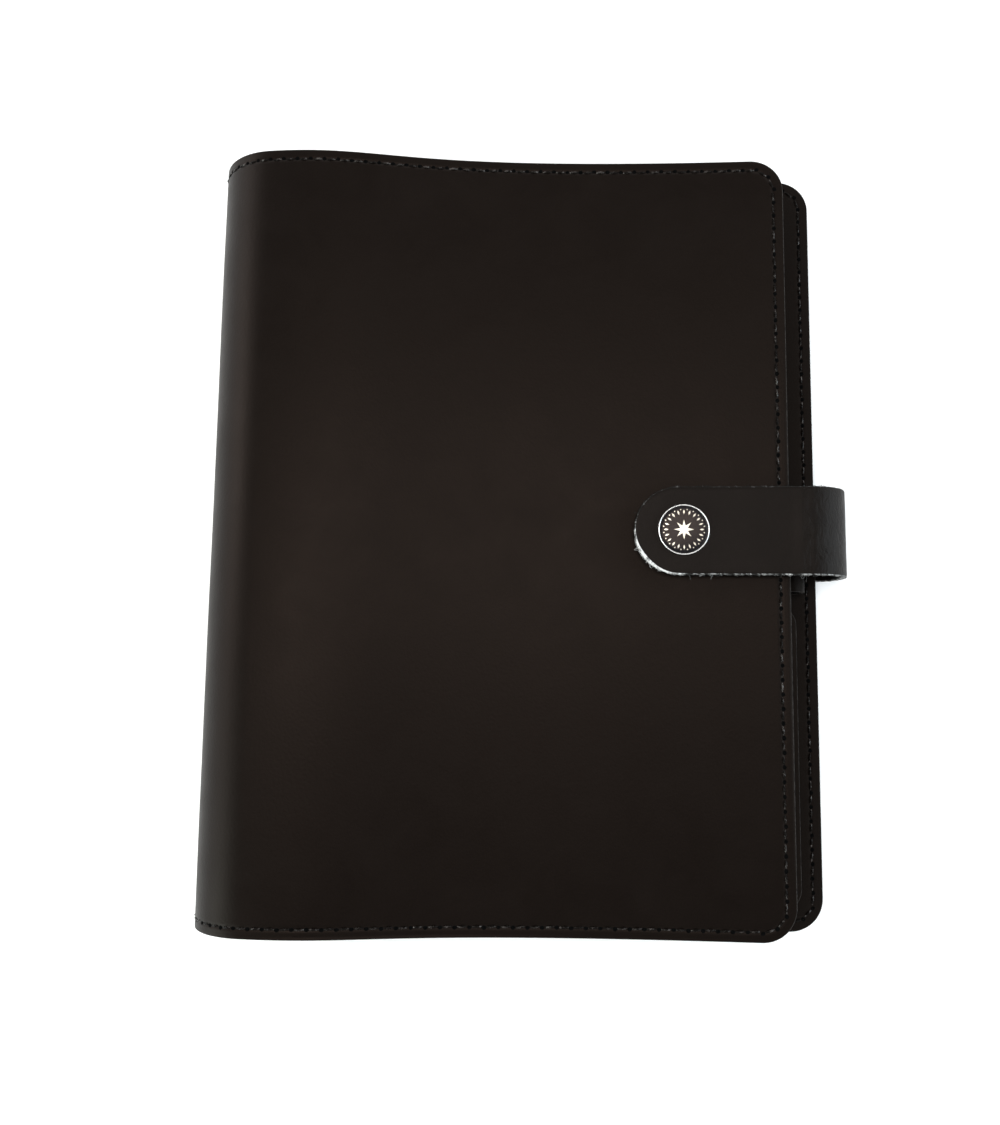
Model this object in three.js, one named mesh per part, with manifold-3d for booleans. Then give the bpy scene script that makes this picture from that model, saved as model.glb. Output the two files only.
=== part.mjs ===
// A ring-organiser notebook cover, closed and lying flat, in millimetres.
// +X runs from the spine to the fore-edge, +Y to the head, +Z up out of the front cover.
// The origin is the middle of the underside's bounding box.
//
// The leather is drawn as bands beside one outer line in the XZ plane. The line starts at the back cover's
// fore-edge, runs under the book, round the spine and over the front cover to its fore-edge. Where the leather
// folds it is cut at the fold lines, which lie on its outer face, so that unfolding only opens the cuts.
import * as THREE from "three";
import { mergeVertices } from "three/addons/utils/BufferGeometryUtils.js";
import Module from "manifold-3d";

const wasm = await Module();
wasm.setup();

// ---- driving dimensions ----
const BOOK_HEIGHT = 233;
const SPINE_RADIUS = 20;
const FRONT_EDGE_X = 175.5;
const FRONT_EDGE_Z = 18.9;
const BACK_EDGE_X = 185.2;
const CORNER_RADIUS = 10;
const LEATHER = 1.8;
const LINING = 0.8;
const CLEAR = 0.3; // between pieces that touch on the real object

// the front cover's S-shaped fall from the spine to the fore-edge
const CROWN_REACH = 39;
const EDGE_REACH = 122;
const EDGE_SLOPE = 0.034;

// the closing strap
const STRAP_WIDTH = 26;
const STRAP_Y = 0.8;
const STRAP = 1.8;
const STRAP_ROOT_X = 112;
const STRAP_TIP_X = 129.6;
const STRAP_REACH_X = 192.7;
const STRAP_TURN_LOW_X = 185;
const STRAP_TURN_HIGH_X = 181;
const STRAP_ROOT_RADIUS = 3;
const STRAP_TIP_RADIUS = 12.99;
const FLAP_GAP = 2.3;

// the press stud
const SNAP_X = 144;
const CAP_RADIUS = 7.5;
const STUD_SHANK_RADIUS = 1.1;
const POST_HEAD_RADIUS = 3.6;
const CAP_POST_RADIUS = 2;

// the pockets
const POCKET_MARGIN = 6.5;
const POCKET_MOUTH_X = 74;
const POCKET_CORNER_RADIUS = 6;
const BACK_POCKET_HEAD_Y = -20;
const CARD_WIDTH = 90;
const CARD_INSET = 1;
const CARD_LIFT = 3;
const CARD_HEIGHTS = [50, 12, 12];

// the pen loop
const LOOP_BORE_RADIUS = 4;
const LOOP_WALL = 0.8;
const LOOP_LENGTH = 30;
const LOOP_X = 176;
const LOOP_Y = -1.5;
const LOOP_TAB_LENGTH = 16;

// the ring mechanism: six rings in two groups of three
const RING_YS = [-73, -54, -35, 35, 54, 73];
const RING_INNER_RADIUS = 10;
const RING_WIRE_RADIUS = 1.3;
const RING_CENTRE_X = 19.2;
const RING_END_ANGLE = THREE.MathUtils.degToRad(148);
const RING_STEM_RADIUS = 1.1;
const SHELL_LENGTH = 204;
const SHELL_HALF_WIDTH = 8.2;
const SHELL_BASE_X = 6.7;
const SHELL_RISE = 5;
const SHELL_WALL = 0.8;
const NOTCH_INNER = 3.6;
const NOTCH_DEPTH = 6;
const NOTCH_WIDTH = 3.6;
const BLADE_LENGTH = 172;
const BLADE_BASE_X = 7.3;
const BLADE = 1;
const BLADE_HALF_WIDTH = 6.4;
const MECHANISM_RIVET_Y = 94;
const RIVET_SHANK_RADIUS = 1.6;
const BOARD_INSET = 4;
const LEVER_GAP = 1.2;
const LEVER_WALL = 1;
const LEVER_FOOT_X = 6.9;
const LEVER_TOP_X = 16;
const LEVER_TAB_LENGTH = 5.8;
const LEVER_HALF_WIDTH = 6.5;

// ---- what follows from them ----
const SPINE_CENTRE = new THREE.Vector2(SPINE_RADIUS, SPINE_RADIUS);
const BACK_RISE = STRAP + CLEAR; // the back cover lies on the strap's root
const LINING_DEPTH = LEATHER + CLEAR;
const POCKET_DEPTH = LINING_DEPTH + LINING + CLEAR;
const CARD_DEPTH = POCKET_DEPTH + LINING + CLEAR;
const BOARD_DEPTH = LINING_DEPTH;
const SPINE_LINING_DEPTH = BOARD_DEPTH + LINING + CLEAR;
const BOOK_FOOT = -BOOK_HEIGHT / 2;
const BOOK_HEAD = BOOK_HEIGHT / 2;
const STRAP_LOW_Y = STRAP_Y - STRAP_WIDTH / 2;
const STRAP_HIGH_Y = STRAP_Y + STRAP_WIDTH / 2;
const FOLD_ANGLES = [247.5, 202.5, 157.5, 112.5].map(THREE.MathUtils.degToRad);
const HALF_CUT_ANGLE = CLEAR / 2 / SPINE_RADIUS;
const BEND_HALF_HEIGHT = (FRONT_EDGE_Z + FLAP_GAP + STRAP) / 2;
const STRAP_FOLDS = [22.5, 67.5, 112.5, 157.5].map(THREE.MathUtils.degToRad);

const LEATHER_BLACK = { color: 0x1f1a17, roughness: 0.55, metalness: 0 };
const LINING_BLACK = { color: 0x1a1715, roughness: 0.7, metalness: 0 };
const BOARD_GREY = { color: 0x6b655c, roughness: 0.9, metalness: 0 };
const STEEL = { color: 0xc4c6c8, roughness: 0.22, metalness: 1 };
const GUNMETAL = { color: 0x2b2d2f, roughness: 0.25, metalness: 1 };

const organiser = new THREE.Group();
organiser.position.x = -STRAP_REACH_X / 2;

function addMesh(name, geometry, finish, parent = organiser) {
  const mesh = new THREE.Mesh(geometry, new THREE.MeshStandardMaterial(finish));
  mesh.name = name;
  parent.add(mesh);
  return mesh;
}

// ---- solids ----
function toSolid(geometry) {
  const bare = geometry.clone();
  bare.deleteAttribute("normal");
  bare.deleteAttribute("uv");
  const merged = mergeVertices(bare, 1e-4);
  return new wasm.Manifold(new wasm.Mesh({
    numProp: 3,
    vertProperties: new Float32Array(merged.attributes.position.array),
    triVerts: new Uint32Array(merged.index.array),
  }));
}

function toGeometry(solid) {
  const mesh = solid.getMesh();
  const geometry = new THREE.BufferGeometry();
  geometry.setAttribute("position", new THREE.BufferAttribute(mesh.vertProperties, mesh.numProp));
  geometry.setIndex(new THREE.BufferAttribute(mesh.triVerts, 1));
  geometry.computeVertexNormals();
  return geometry;
}

// An outline drawn in the XZ plane, drawn out along Y from yLow to yHigh.
function acrossBook(points, yLow, yHigh) {
  const geometry = new THREE.ExtrudeGeometry(new THREE.Shape(points), {
    depth: yHigh - yLow,
    bevelEnabled: false,
  });
  geometry.rotateX(Math.PI / 2);
  geometry.translate(0, yHigh, 0);
  return geometry;
}

function drilled(solid, holes) {
  return holes.reduce((rest, hole) => rest.subtract(hole), solid);
}

const PRISM_FLOOR = -20;
const PRISM_HEIGHT = 80;
const CORNER_STEPS = 8;

// A prism taller than the book, over a plan rectangle with its own radius for the corners at each end.
function planPrism(xLow, xHigh, yLow, yHigh, lowRadius, highRadius) {
  const corners = [
    [xLow + lowRadius, yLow + lowRadius, lowRadius, Math.PI],
    [xHigh - highRadius, yLow + highRadius, highRadius, -Math.PI / 2],
    [xHigh - highRadius, yHigh - highRadius, highRadius, 0],
    [xLow + lowRadius, yHigh - lowRadius, lowRadius, Math.PI / 2],
  ];
  const outline = corners.flatMap(([x, y, radius, start]) => {
    const steps = radius > 0 ? CORNER_STEPS : 0;
    return Array.from({ length: steps + 1 }, (_, i) => {
      const angle = start + (i / Math.max(steps, 1)) * (Math.PI / 2);
      return new THREE.Vector2(x + radius * Math.cos(angle), y + radius * Math.sin(angle));
    });
  });
  const geometry = new THREE.ExtrudeGeometry(new THREE.Shape(outline), {
    depth: PRISM_HEIGHT,
    bevelEnabled: false,
  });
  geometry.translate(0, 0, PRISM_FLOOR);
  return toSolid(geometry);
}

// ---- lines in the XZ plane ----
// A line is a list of { point, inward }, with inward the unit normal towards the inside of the fold.
function trace(curve, steps, turn, from = 0, to = 1) {
  const line = [];
  for (let i = 0; i <= steps; i++) {
    const t = from + ((to - from) * i) / steps;
    const tangent = curve.getTangent(t).multiplyScalar(to < from ? -1 : 1);
    line.push({
      point: curve.getPoint(t),
      inward: new THREE.Vector2(-tangent.y, tangent.x).multiplyScalar(turn),
    });
  }
  return line;
}

function join(...lines) {
  return lines.flatMap((line, i) => (i === 0 ? line : line.slice(1)));
}

// The outline of a layer that lies between two depths beside a line.
function band(line, near, far) {
  const at = (depth) => line.map(({ point, inward }) => point.clone().addScaledVector(inward, depth));
  return [...at(near), ...at(far).reverse()];
}

function parameterAtX(curve, x) {
  let low = 0;
  let high = 1;
  for (let i = 0; i < 40; i++) {
    const middle = (low + high) / 2;
    if (curve.getPoint(middle).x < x) low = middle;
    else high = middle;
  }
  return low;
}

const BOOK_TURN = -1; // the book line keeps the inside on its right
const STRAP_TURN = 1; // the strap line keeps the inside on its left

const backFlat = new THREE.LineCurve(
  new THREE.Vector2(BACK_EDGE_X, BACK_RISE),
  new THREE.Vector2(3 * SPINE_RADIUS, BACK_RISE),
);
const backDip = new THREE.CubicBezierCurve(
  new THREE.Vector2(3 * SPINE_RADIUS, BACK_RISE),
  new THREE.Vector2(2 * SPINE_RADIUS, BACK_RISE),
  new THREE.Vector2(2 * SPINE_RADIUS, 0),
  new THREE.Vector2(SPINE_RADIUS, 0),
);
const frontFall = new THREE.CubicBezierCurve(
  new THREE.Vector2(SPINE_RADIUS, 2 * SPINE_RADIUS),
  new THREE.Vector2(SPINE_RADIUS + CROWN_REACH, 2 * SPINE_RADIUS),
  new THREE.Vector2(FRONT_EDGE_X - EDGE_REACH, FRONT_EDGE_Z + EDGE_REACH * EDGE_SLOPE),
  new THREE.Vector2(FRONT_EDGE_X, FRONT_EDGE_Z),
);

function spineArc(startAngle, endAngle, steps) {
  const { x, y } = SPINE_CENTRE;
  const arc = new THREE.EllipseCurve(x, y, SPINE_RADIUS, SPINE_RADIUS, startAngle, endAngle, true);
  return trace(arc, steps, BOOK_TURN);
}

// The piece of the spine between two folds, short of each by half a cut.
function spineStrip(fold) {
  return spineArc(FOLD_ANGLES[fold] - HALF_CUT_ANGLE, FOLD_ANGLES[fold + 1] + HALF_CUT_ANGLE, 6);
}

const backLine = join(
  trace(backFlat, 1, BOOK_TURN),
  trace(backDip, 8, BOOK_TURN),
  spineArc((3 * Math.PI) / 2, FOLD_ANGLES[0] + HALF_CUT_ANGLE, 3),
);
const frontLine = join(
  spineArc(FOLD_ANGLES[3] - HALF_CUT_ANGLE, Math.PI / 2, 3),
  trace(frontFall, 24, BOOK_TURN),
);

// ---- leather and lining ----
function bandSolid(line, depth, thickness, yLow = BOOK_FOOT, yHigh = BOOK_HEAD) {
  return toSolid(acrossBook(band(line, depth, depth + thickness), yLow, yHigh));
}

// A layer of a cover, with rounded corners at its fore-edge.
function coverLayer(name, line, edgeX, depth, thickness, finish, holes = []) {
  const plan = planPrism(-CORNER_RADIUS, edgeX, BOOK_FOOT, BOOK_HEAD, 0, CORNER_RADIUS);
  addMesh(name, toGeometry(drilled(bandSolid(line, depth, thickness).intersect(plan), holes)), finish);
}

// A layer between two folds, or between a fold and a straight edge.
function stripLayer(name, line, depth, thickness, finish, holes = []) {
  addMesh(name, toGeometry(drilled(bandSolid(line, depth, thickness), holes)), finish);
}

// A round bar along +X at a height y up the spine, for the mechanism's rivet holes.
function spineBar(radius, xLow, xHigh, y) {
  const bar = new THREE.CylinderGeometry(radius, radius, xHigh - xLow, 16);
  bar.rotateZ(Math.PI / 2);
  bar.translate((xLow + xHigh) / 2, y, SPINE_RADIUS);
  return toSolid(bar);
}

// Where the press stud stands: a frame whose local z leaves the front cover's outer face.
const snapT = parameterAtX(frontFall, SNAP_X);
const snapPoint = frontFall.getPoint(snapT);
const snapTangent = frontFall.getTangent(snapT);
const snapTilt = -Math.atan2(snapTangent.y, snapTangent.x);

// A round bar through the cover at the press stud, between two heights above the cover.
function snapBar(radius, low, high) {
  const bar = new THREE.CylinderGeometry(radius, radius, high - low, 20);
  bar.rotateX(Math.PI / 2);
  bar.translate(0, 0, (low + high) / 2);
  bar.rotateY(snapTilt);
  bar.translate(snapPoint.x, STRAP_Y, snapPoint.y);
  return toSolid(bar);
}

const rivetHoles = [-1, 1].map((side) => (
  spineBar(RIVET_SHANK_RADIUS + CLEAR, 0, SPINE_RADIUS, side * MECHANISM_RIVET_Y)
));

function buildCover() {
  const studHoles = [
    snapBar(STUD_SHANK_RADIUS + CLEAR / 2, -LINING_DEPTH, 1),
    snapBar(POST_HEAD_RADIUS + CLEAR, -LINING_DEPTH, -1),
  ];
  coverLayer("back_leather", backLine, BACK_EDGE_X, 0, LEATHER, LEATHER_BLACK);
  coverLayer("back_lining", backLine, BACK_EDGE_X, LINING_DEPTH, LINING, LINING_BLACK);
  coverLayer("front_leather", frontLine, FRONT_EDGE_X, 0, LEATHER, LEATHER_BLACK, studHoles);
  coverLayer("front_lining", frontLine, FRONT_EDGE_X, LINING_DEPTH, LINING, LINING_BLACK);
  ["back_hinge", "spine", "front_hinge"].forEach((name, fold) => {
    const line = spineStrip(fold);
    const atSpine = name === "spine";
    const depth = atSpine ? SPINE_LINING_DEPTH : LINING_DEPTH;
    stripLayer(`${name}_leather`, line, 0, LEATHER, LEATHER_BLACK);
    stripLayer(`${name}_lining`, line, depth, LINING, LINING_BLACK, atSpine ? rivetHoles : []);
  });
}

// The stiff board in the spine that the ring mechanism is riveted to.
function buildSpineBoard() {
  const board = bandSolid(spineStrip(1), BOARD_DEPTH, LINING, BOOK_FOOT + BOARD_INSET, BOOK_HEAD - BOARD_INSET);
  addMesh("spine_board", toGeometry(drilled(board, rivetHoles)), BOARD_GREY);
}

// ---- pockets and pen loop ----
function pocket(name, line, depth, [xLow, xHigh], [yLow, yHigh], radius) {
  const plan = planPrism(xLow, xHigh, yLow, yHigh, 0, radius);
  addMesh(name, toGeometry(bandSolid(line, depth, LINING, yLow, yHigh).intersect(plan)), LINING_BLACK);
}

function buildPockets() {
  const foot = BOOK_FOOT + POCKET_MARGIN;
  const frontX = FRONT_EDGE_X - POCKET_MARGIN;
  const frontSpan = [POCKET_MOUTH_X, frontX];
  const backSpan = [POCKET_MOUTH_X, BACK_EDGE_X - POCKET_MARGIN];
  pocket("front_pocket", frontLine, POCKET_DEPTH, frontSpan, [foot, -foot], POCKET_CORNER_RADIUS);
  pocket("back_pocket", backLine, POCKET_DEPTH, backSpan, [foot, BACK_POCKET_HEAD_Y], POCKET_CORNER_RADIUS);
  const cardX = frontX - CARD_INSET;
  let y = foot + CARD_LIFT;
  CARD_HEIGHTS.forEach((height, i) => {
    pocket(`card_pocket_${i + 1}`, frontLine, CARD_DEPTH, [cardX - CARD_WIDTH, cardX], [y, y + height], 0);
    y += height + CLEAR;
  });
}

// A leather tube with a flat tab that is sewn to the back cover's lining.
function buildPenLoop() {
  const footZ = BACK_RISE + POCKET_DEPTH;
  const tube = (radius, length) => {
    const bar = new THREE.CylinderGeometry(radius, radius, length, 28);
    bar.translate(LOOP_X, 0, footZ + LOOP_WALL + LOOP_BORE_RADIUS);
    return toSolid(bar);
  };
  const tab = new THREE.BoxGeometry(LOOP_TAB_LENGTH, LOOP_LENGTH, LOOP_WALL);
  tab.translate(LOOP_X - LOOP_TAB_LENGTH / 2, 0, footZ + LOOP_WALL / 2);
  const outside = tube(LOOP_BORE_RADIUS + LOOP_WALL, LOOP_LENGTH).add(toSolid(tab));
  const bore = tube(LOOP_BORE_RADIUS, LOOP_LENGTH + 2);
  addMesh("pen_loop", toGeometry(outside.subtract(bore)), LINING_BLACK).position.y = LOOP_Y;
}

// ---- strap ----
// The strap's outer face where it turns round the fore-edges, by the angle that it has turned through.
function bendLine(fromTurn, toTurn, steps) {
  const line = [];
  for (let i = 0; i <= steps; i++) {
    const turn = fromTurn + ((toTurn - fromTurn) * i) / steps;
    const startX = turn < Math.PI / 2 ? STRAP_TURN_LOW_X : STRAP_TURN_HIGH_X;
    const reach = STRAP_REACH_X - startX;
    const round = Math.atan2(reach * Math.sin(turn), BEND_HALF_HEIGHT * Math.cos(turn));
    line.push({
      point: new THREE.Vector2(startX + reach * Math.sin(round), BEND_HALF_HEIGHT * (1 - Math.cos(round))),
      inward: new THREE.Vector2(-Math.sin(turn), Math.cos(turn)),
    });
  }
  return line;
}

function strapPiece(name, line, plan, holes = []) {
  const whole = bandSolid(line, 0, STRAP, STRAP_LOW_Y, STRAP_HIGH_Y);
  const cut = plan ? whole.intersect(plan) : whole;
  addMesh(name, toGeometry(drilled(cut, holes)), LEATHER_BLACK);
}

// The strap's outer face over the front cover, from the fore-edge to the tip.
function flapLine() {
  return trace(frontFall, 12, STRAP_TURN, 1, parameterAtX(frontFall, STRAP_TIP_X)).map((step) => ({
    point: step.point.clone().addScaledVector(step.inward, -FLAP_GAP - STRAP),
    inward: step.inward,
  }));
}

function buildStrap() {
  const halfCut = CLEAR / 2 / BEND_HALF_HEIGHT;
  const beyond = STRAP_REACH_X + CORNER_RADIUS;
  const start = { point: new THREE.Vector2(STRAP_ROOT_X, 0), inward: new THREE.Vector2(0, 1) };
  const root = [start, ...bendLine(0, STRAP_FOLDS[0] - halfCut, 3)];
  const rootPlan = planPrism(STRAP_ROOT_X, beyond, STRAP_LOW_Y, STRAP_HIGH_Y, STRAP_ROOT_RADIUS, 0);
  strapPiece("strap_root", root, rootPlan);
  for (let i = 0; i < 3; i++) {
    strapPiece(`strap_bend_${i + 1}`, bendLine(STRAP_FOLDS[i] + halfCut, STRAP_FOLDS[i + 1] - halfCut, 6));
  }
  const flap = [...bendLine(STRAP_FOLDS[3] + halfCut, Math.PI, 3), ...flapLine()];
  const tipPlan = planPrism(STRAP_TIP_X, beyond, STRAP_LOW_Y, STRAP_HIGH_Y, STRAP_TIP_RADIUS, 0);
  const postHole = snapBar(CAP_POST_RADIUS + CLEAR, 1, FLAP_GAP + 2 * STRAP);
  strapPiece("strap_flap", flap, tipPlan, [postHole]);
}

// ---- press stud ----
function turned(profile, sides) {
  const geometry = new THREE.LatheGeometry(profile.map(([r, h]) => new THREE.Vector2(r, h)), sides);
  geometry.rotateX(Math.PI / 2);
  return geometry;
}

// Heights are measured from the front cover's outer face.
function buildSnap() {
  const stand = new THREE.Group();
  stand.position.set(snapPoint.x, STRAP_Y, snapPoint.y);
  stand.rotation.y = snapTilt;
  organiser.add(stand);
  const capFoot = FLAP_GAP + STRAP + CLEAR;
  const cap = [
    [0, FLAP_GAP],
    [CAP_POST_RADIUS, FLAP_GAP],
    [CAP_POST_RADIUS, capFoot],
    [CAP_RADIUS - 0.3, capFoot],
    [CAP_RADIUS, capFoot + 0.4],
    [CAP_RADIUS - 0.3, capFoot + 1.1],
    [CAP_RADIUS - 1.2, capFoot + 1.4],
    [0, capFoot + 1.6],
  ];
  const socket = [
    [2.3, 1],
    [4.6, 1],
    [5, 1.4],
    [5, 2],
    [2.3, 2],
    [2.3, 1],
  ];
  const stud = [
    [0, 1.5],
    [STUD_SHANK_RADIUS, 1.5],
    [STUD_SHANK_RADIUS, CLEAR],
    [4.5, CLEAR],
    [4.5, 0.7],
    [1.7, 0.9],
    [1.9, 1.4],
    [1.5, 1.9],
    [0, 1.9],
  ];
  const post = [
    [0, -LEATHER],
    [POST_HEAD_RADIUS, -LEATHER],
    [POST_HEAD_RADIUS, -1.3],
    [0.8, -1.3],
    [0.8, 1.2],
    [0, 1.2],
  ];
  addMesh("snap_cap", turned(cap, 32), GUNMETAL, stand);
  addMesh("snap_socket", turned(socket, 20), STEEL, stand);
  addMesh("snap_stud", turned(stud, 20), STEEL, stand);
  addMesh("snap_post", turned(post, 16), STEEL, stand);
}

// ---- ring mechanism ----
// Half a ring, with side 1 towards the front cover and -1 towards the back cover.
function ringHalf(side) {
  const radius = RING_INNER_RADIUS + RING_WIRE_RADIUS;
  const tipGap = CLEAR / 2 / radius;
  class RingArc extends THREE.Curve {
    getPoint(t) {
      const angle = tipGap + (RING_END_ANGLE - tipGap) * t;
      return new THREE.Vector3(
        RING_CENTRE_X + radius * Math.cos(angle),
        0,
        SPINE_RADIUS + side * radius * Math.sin(angle),
      );
    }
  }
  const section = new THREE.Shape();
  section.absarc(0, 0, RING_WIRE_RADIUS, 0, 2 * Math.PI, false);
  const wire = new THREE.ExtrudeGeometry(section, {
    steps: 14,
    curveSegments: 5,
    extrudePath: new RingArc(),
  });
  const end = new RingArc().getPoint(1);
  const stemFoot = BLADE_BASE_X + BLADE + CLEAR;
  const stem = new THREE.CylinderGeometry(RING_STEM_RADIUS, RING_STEM_RADIUS, end.x - stemFoot, 10);
  stem.rotateZ(Math.PI / 2);
  stem.translate((end.x + stemFoot) / 2, 0, end.z);
  return toGeometry(toSolid(wire).add(toSolid(stem)));
}

function buildRings() {
  for (const [name, side] of [["front", 1], ["back", -1]]) {
    const geometry = ringHalf(side);
    RING_YS.forEach((y, i) => {
      addMesh(`ring_${name}_${i + 1}`, geometry.clone(), STEEL).position.y = y;
    });
  }
}

function buildBlades() {
  for (const [name, side] of [["front", 1], ["back", -1]]) {
    const inner = CLEAR / 2;
    const width = BLADE_HALF_WIDTH - inner;
    const blade = new THREE.BoxGeometry(BLADE, BLADE_LENGTH, width);
    const mesh = addMesh(`blade_${name}`, blade, STEEL);
    mesh.position.set(BLADE_BASE_X + BLADE / 2, 0, SPINE_RADIUS + side * (inner + width / 2));
  }
}

// The arched cover of the mechanism, with a notch for each ring's stem.
function buildShell() {
  const arch = (inset) => {
    const points = [];
    const steps = 12;
    for (let i = 0; i <= steps; i++) {
      const angle = -Math.PI / 2 + (Math.PI * i) / steps;
      points.push(new THREE.Vector2(
        SHELL_BASE_X + (SHELL_RISE - inset) * Math.cos(angle),
        SPINE_RADIUS + (SHELL_HALF_WIDTH - inset) * Math.sin(angle),
      ));
    }
    return points;
  };
  const outline = [...arch(0), ...arch(SHELL_WALL).reverse()];
  const whole = toSolid(acrossBook(outline, -SHELL_LENGTH / 2, SHELL_LENGTH / 2));
  const notches = RING_YS.flatMap((y) => [-1, 1].map((side) => {
    const notch = new THREE.BoxGeometry(SPINE_RADIUS, NOTCH_WIDTH, NOTCH_DEPTH);
    notch.translate(SHELL_BASE_X, y, SPINE_RADIUS + side * (NOTCH_INNER + NOTCH_DEPTH / 2));
    return toSolid(notch);
  }));
  addMesh("ring_shell", toGeometry(drilled(whole, [...rivetHoles, ...notches])), STEEL);
}

function buildMechanismRivets() {
  const crownX = SHELL_BASE_X + SHELL_RISE + CLEAR;
  const footX = BOARD_DEPTH + 0.1;
  const profile = [
    [0, footX],
    [RIVET_SHANK_RADIUS, footX],
    [RIVET_SHANK_RADIUS, crownX],
    [3.4, crownX],
    [3, crownX + 0.8],
    [1.6, crownX + 1.2],
    [0, crownX + 1.3],
  ];
  for (const [name, side] of [["head", 1], ["foot", -1]]) {
    const geometry = turned(profile, 16);
    geometry.rotateY(Math.PI / 2);
    addMesh(`rivet_${name}`, geometry, STEEL).position.set(0, side * MECHANISM_RIVET_Y, SPINE_RADIUS);
  }
}

// A thumb lever at each end: an upright web with a tab folded outwards at its top.
function buildLevers() {
  const start = SHELL_LENGTH / 2 + LEVER_GAP;
  const outline = new THREE.Shape([
    new THREE.Vector2(LEVER_FOOT_X, start),
    new THREE.Vector2(LEVER_FOOT_X, start + LEVER_WALL),
    new THREE.Vector2(LEVER_TOP_X - LEVER_WALL, start + LEVER_WALL),
    new THREE.Vector2(LEVER_TOP_X - LEVER_WALL, start + LEVER_TAB_LENGTH),
    new THREE.Vector2(LEVER_TOP_X, start + LEVER_TAB_LENGTH),
    new THREE.Vector2(LEVER_TOP_X, start),
  ]);
  for (const [name, turn] of [["head", 0], ["foot", Math.PI]]) {
    const geometry = new THREE.ExtrudeGeometry(outline, { depth: 2 * LEVER_HALF_WIDTH, bevelEnabled: false });
    geometry.translate(0, 0, -LEVER_HALF_WIDTH);
    const mesh = addMesh(`lever_${name}`, geometry, STEEL);
    mesh.position.z = SPINE_RADIUS;
    mesh.rotation.x = turn;
  }
}

buildCover();
buildSpineBoard();
buildPockets();
buildPenLoop();
buildStrap();
buildSnap();
buildShell();
buildBlades();
buildRings();
buildMechanismRivets();
buildLevers();

export default organiser;
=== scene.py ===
"""A closed leather ring organiser, lying on a pale floor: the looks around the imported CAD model.

Lengths are in metres in the CAD's frame: +X from the spine to the fore-edge, +Y to the head, +Z up.
Every leather layer is a sheet laid along a line in the XZ plane. A place on a sheet is (s, y, depth):
s runs along the line, y up the book, and depth goes from the outer face towards the inside of the fold.
A box on a sheet is (s_low, s_high, y_low, y_high).
"""

import math
import random

import bmesh
import bpy
import numpy as np
from mathutils import Matrix, Vector, noise


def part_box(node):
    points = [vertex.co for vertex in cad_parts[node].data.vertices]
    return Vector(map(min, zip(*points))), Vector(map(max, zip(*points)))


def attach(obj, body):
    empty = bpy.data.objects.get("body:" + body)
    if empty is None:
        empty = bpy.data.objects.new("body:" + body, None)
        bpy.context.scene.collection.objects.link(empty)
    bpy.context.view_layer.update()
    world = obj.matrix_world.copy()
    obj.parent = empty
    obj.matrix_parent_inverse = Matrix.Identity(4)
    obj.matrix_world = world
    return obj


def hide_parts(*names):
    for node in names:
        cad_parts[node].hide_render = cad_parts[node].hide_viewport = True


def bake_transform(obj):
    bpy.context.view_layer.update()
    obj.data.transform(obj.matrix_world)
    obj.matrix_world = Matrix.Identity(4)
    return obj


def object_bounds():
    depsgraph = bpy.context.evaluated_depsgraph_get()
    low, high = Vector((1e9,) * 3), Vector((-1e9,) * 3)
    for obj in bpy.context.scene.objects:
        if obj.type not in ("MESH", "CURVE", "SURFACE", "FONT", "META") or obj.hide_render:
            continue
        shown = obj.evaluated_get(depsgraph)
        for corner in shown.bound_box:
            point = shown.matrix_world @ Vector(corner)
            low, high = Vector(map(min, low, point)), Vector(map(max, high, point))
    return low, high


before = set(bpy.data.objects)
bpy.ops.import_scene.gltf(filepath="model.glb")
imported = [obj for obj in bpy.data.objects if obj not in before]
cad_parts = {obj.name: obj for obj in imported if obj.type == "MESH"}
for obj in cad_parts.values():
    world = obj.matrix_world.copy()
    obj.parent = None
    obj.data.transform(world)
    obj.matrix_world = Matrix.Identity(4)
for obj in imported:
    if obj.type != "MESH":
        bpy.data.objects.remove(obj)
cad_low, cad_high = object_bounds()

MM = 0.001
LEFT = cad_low.x
HALF_HEIGHT = cad_high.y
SPINE_RADIUS = cad_high.z / 2
FRONT_EDGE_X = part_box("front_leather")[1].x - LEFT
BACK_EDGE_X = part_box("back_leather")[1].x - LEFT
STRAP_REACH_X = cad_high.x - LEFT

# thicknesses and depths of the layers
LEATHER = 1.8 * MM
LEATHER_SHOWN = 1.95 * MM
RESTING = 0.08 * MM
LINED = LEATHER_SHOWN + 0.85 * MM
LINING_TRIM = 0.1 * MM
THIN_LEATHER = 0.8 * MM
POCKET_DEPTH = 3.15 * MM
CARD_DEPTH = 4.15 * MM
SPINE_LINING_DROP = 1.15 * MM
CORNER_RADIUS = 10 * MM

# the outer line of the cover
BACK_RISE = 2.1 * MM
FRONT_EDGE_Z = 18.9 * MM
CROWN_REACH = 39 * MM
EDGE_REACH = 122 * MM
EDGE_SLOPE = 0.034

# the sewing
STITCH_INSET = 3 * MM
STITCH_CORNER = 6.8 * MM
STITCH_PITCH = 4.15 * MM
STITCH_SHARE = 0.38
STITCH_SLANT = 0.06
STITCH_POINTS = 9
THREAD_SIDES = 8
THREAD_RADIUS = 0.33 * MM
# the size of each needle hole's dark disc of painted shade
HOLE_LONG = 0.74 * MM
HOLE_WIDE = 0.6 * MM
HOLE_SIDES = 12

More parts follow.
